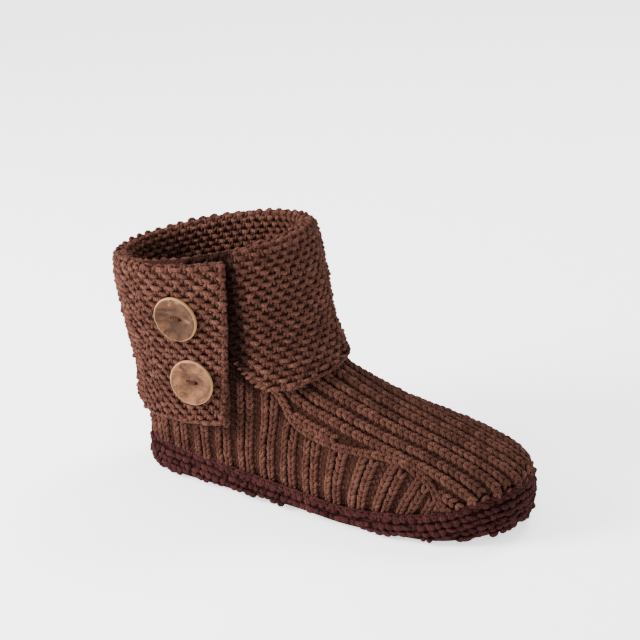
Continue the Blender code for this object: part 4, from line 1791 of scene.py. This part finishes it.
class BOOTIE_OT_stage(Operator):
    """Pale floor, soft studio light and the camera"""

    bl_idname = "bootie.stage"
    bl_label = "Stage"

    def execute(self, context):
        bm = bmesh.new()
        bmesh.ops.create_grid(bm, x_segments=8, y_segments=8, size=FLOOR_HALF)
        floor = linked("floor", as_mesh("floor", bm))
        floor.data.materials.append(finish_named("studio_paper"))
        world = bpy.data.worlds.new("studio")
        world.use_nodes = True
        back = world.node_tree.nodes["Background"]
        back.inputs["Color"].default_value = WORLD_COLOUR
        back.inputs["Strength"].default_value = WORLD_STRENGTH
        context.scene.world = world
        for name, (place, size, power, colour) in LAMPS.items():
            self.lamp(name, place, size, power, colour)
        self.camera(context)
        return {"FINISHED"}

    def lamp(self, name, place, size, power, colour):
        """A round soft lamp that looks at the slipper."""
        light = bpy.data.lights.new(name, "AREA")
        light.shape = "DISK"
        light.size = size
        light.energy = power
        light.color = colour
        lamp = linked(name, light)
        lamp.location = place
        aim = Vector(LAMP_AIM) - Vector(place)
        lamp.rotation_euler = aim.to_track_quat("-Z", "Y").to_euler()

    def camera(self, context):
        """The photograph's own angle and frame."""
        low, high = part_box("sole")
        middle = Vector(((low[0] + high[0]) / 2.0, (low[1] + high[1]) / 2.0, CAMERA_AIM))
        turn, rise = math.radians(CAMERA_TURN), math.radians(CAMERA_RISE)
        level = math.cos(rise)
        back = Vector((math.sin(turn) * level, -math.cos(turn) * level, math.sin(rise)))
        data = bpy.data.cameras.new("camera")
        data.sensor_width = SENSOR_WIDTH
        data.lens = PHOTO_FOCAL / PHOTO_SIDE * SENSOR_WIDTH
        data.shift_x = (PHOTO_SIDE / 2.0 - PHOTO_AIM[0]) / PHOTO_SIDE
        data.shift_y = (PHOTO_AIM[1] - PHOTO_SIDE / 2.0) / PHOTO_SIDE
        data.clip_end = 50.0
        camera = linked("camera", data)
        camera.location = middle + back * CAMERA_FAR
        camera.rotation_euler = back.to_track_quat("Z", "Y").to_euler()
        context.scene.camera = camera


OPERATORS = (
    BOOTIE_OT_upper_wall,
    BOOTIE_OT_side_ribs,
    BOOTIE_OT_instep_ribs,
    BOOTIE_OT_ridge,
    BOOTIE_OT_cuff_wall,
    BOOTIE_OT_cuff_stitches,
    BOOTIE_OT_cuff_edges,
    BOOTIE_OT_sole_body,
    BOOTIE_OT_sole_stitches,
    BOOTIE_OT_seam,
    BOOTIE_OT_buttons,
    BOOTIE_OT_stage,
)


class BOOTIE_PT_parts(Panel):
    """Lists the sizes, the colours and the pieces"""

    bl_label = "Bootie slipper"
    bl_idname = "BOOTIE_PT_parts"
    bl_space_type = "VIEW_3D"
    bl_region_type = "UI"
    bl_category = "Bootie"

    def draw(self, context):
        layout = self.layout
        for group in (context.scene.bootie_sizes, context.scene.bootie_colours):
            box = layout.box()
            for name in group.__annotations__:
                box.prop(group, name)
        for operator in OPERATORS:
            layout.operator(operator.bl_idname)


CLASSES = (BootieSizes, BootieColours, *OPERATORS, BOOTIE_PT_parts)


def register():
    """Makes the classes and their settings known."""
    for item in CLASSES:
        bpy.utils.register_class(item)
    bpy.types.Scene.bootie_sizes = PointerProperty(type=BootieSizes)
    bpy.types.Scene.bootie_colours = PointerProperty(type=BootieColours)


def unregister():
    """Takes them away again."""
    del bpy.types.Scene.bootie_colours
    del bpy.types.Scene.bootie_sizes
    for item in reversed(CLASSES):
        bpy.utils.unregister_class(item)


def main():
    """Knits every piece in order."""
    register()
    for operator in OPERATORS:
        group, name = operator.bl_idname.split(".")
        getattr(getattr(bpy.ops, group), name)()
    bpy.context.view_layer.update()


if __name__ == "__main__":
    main()
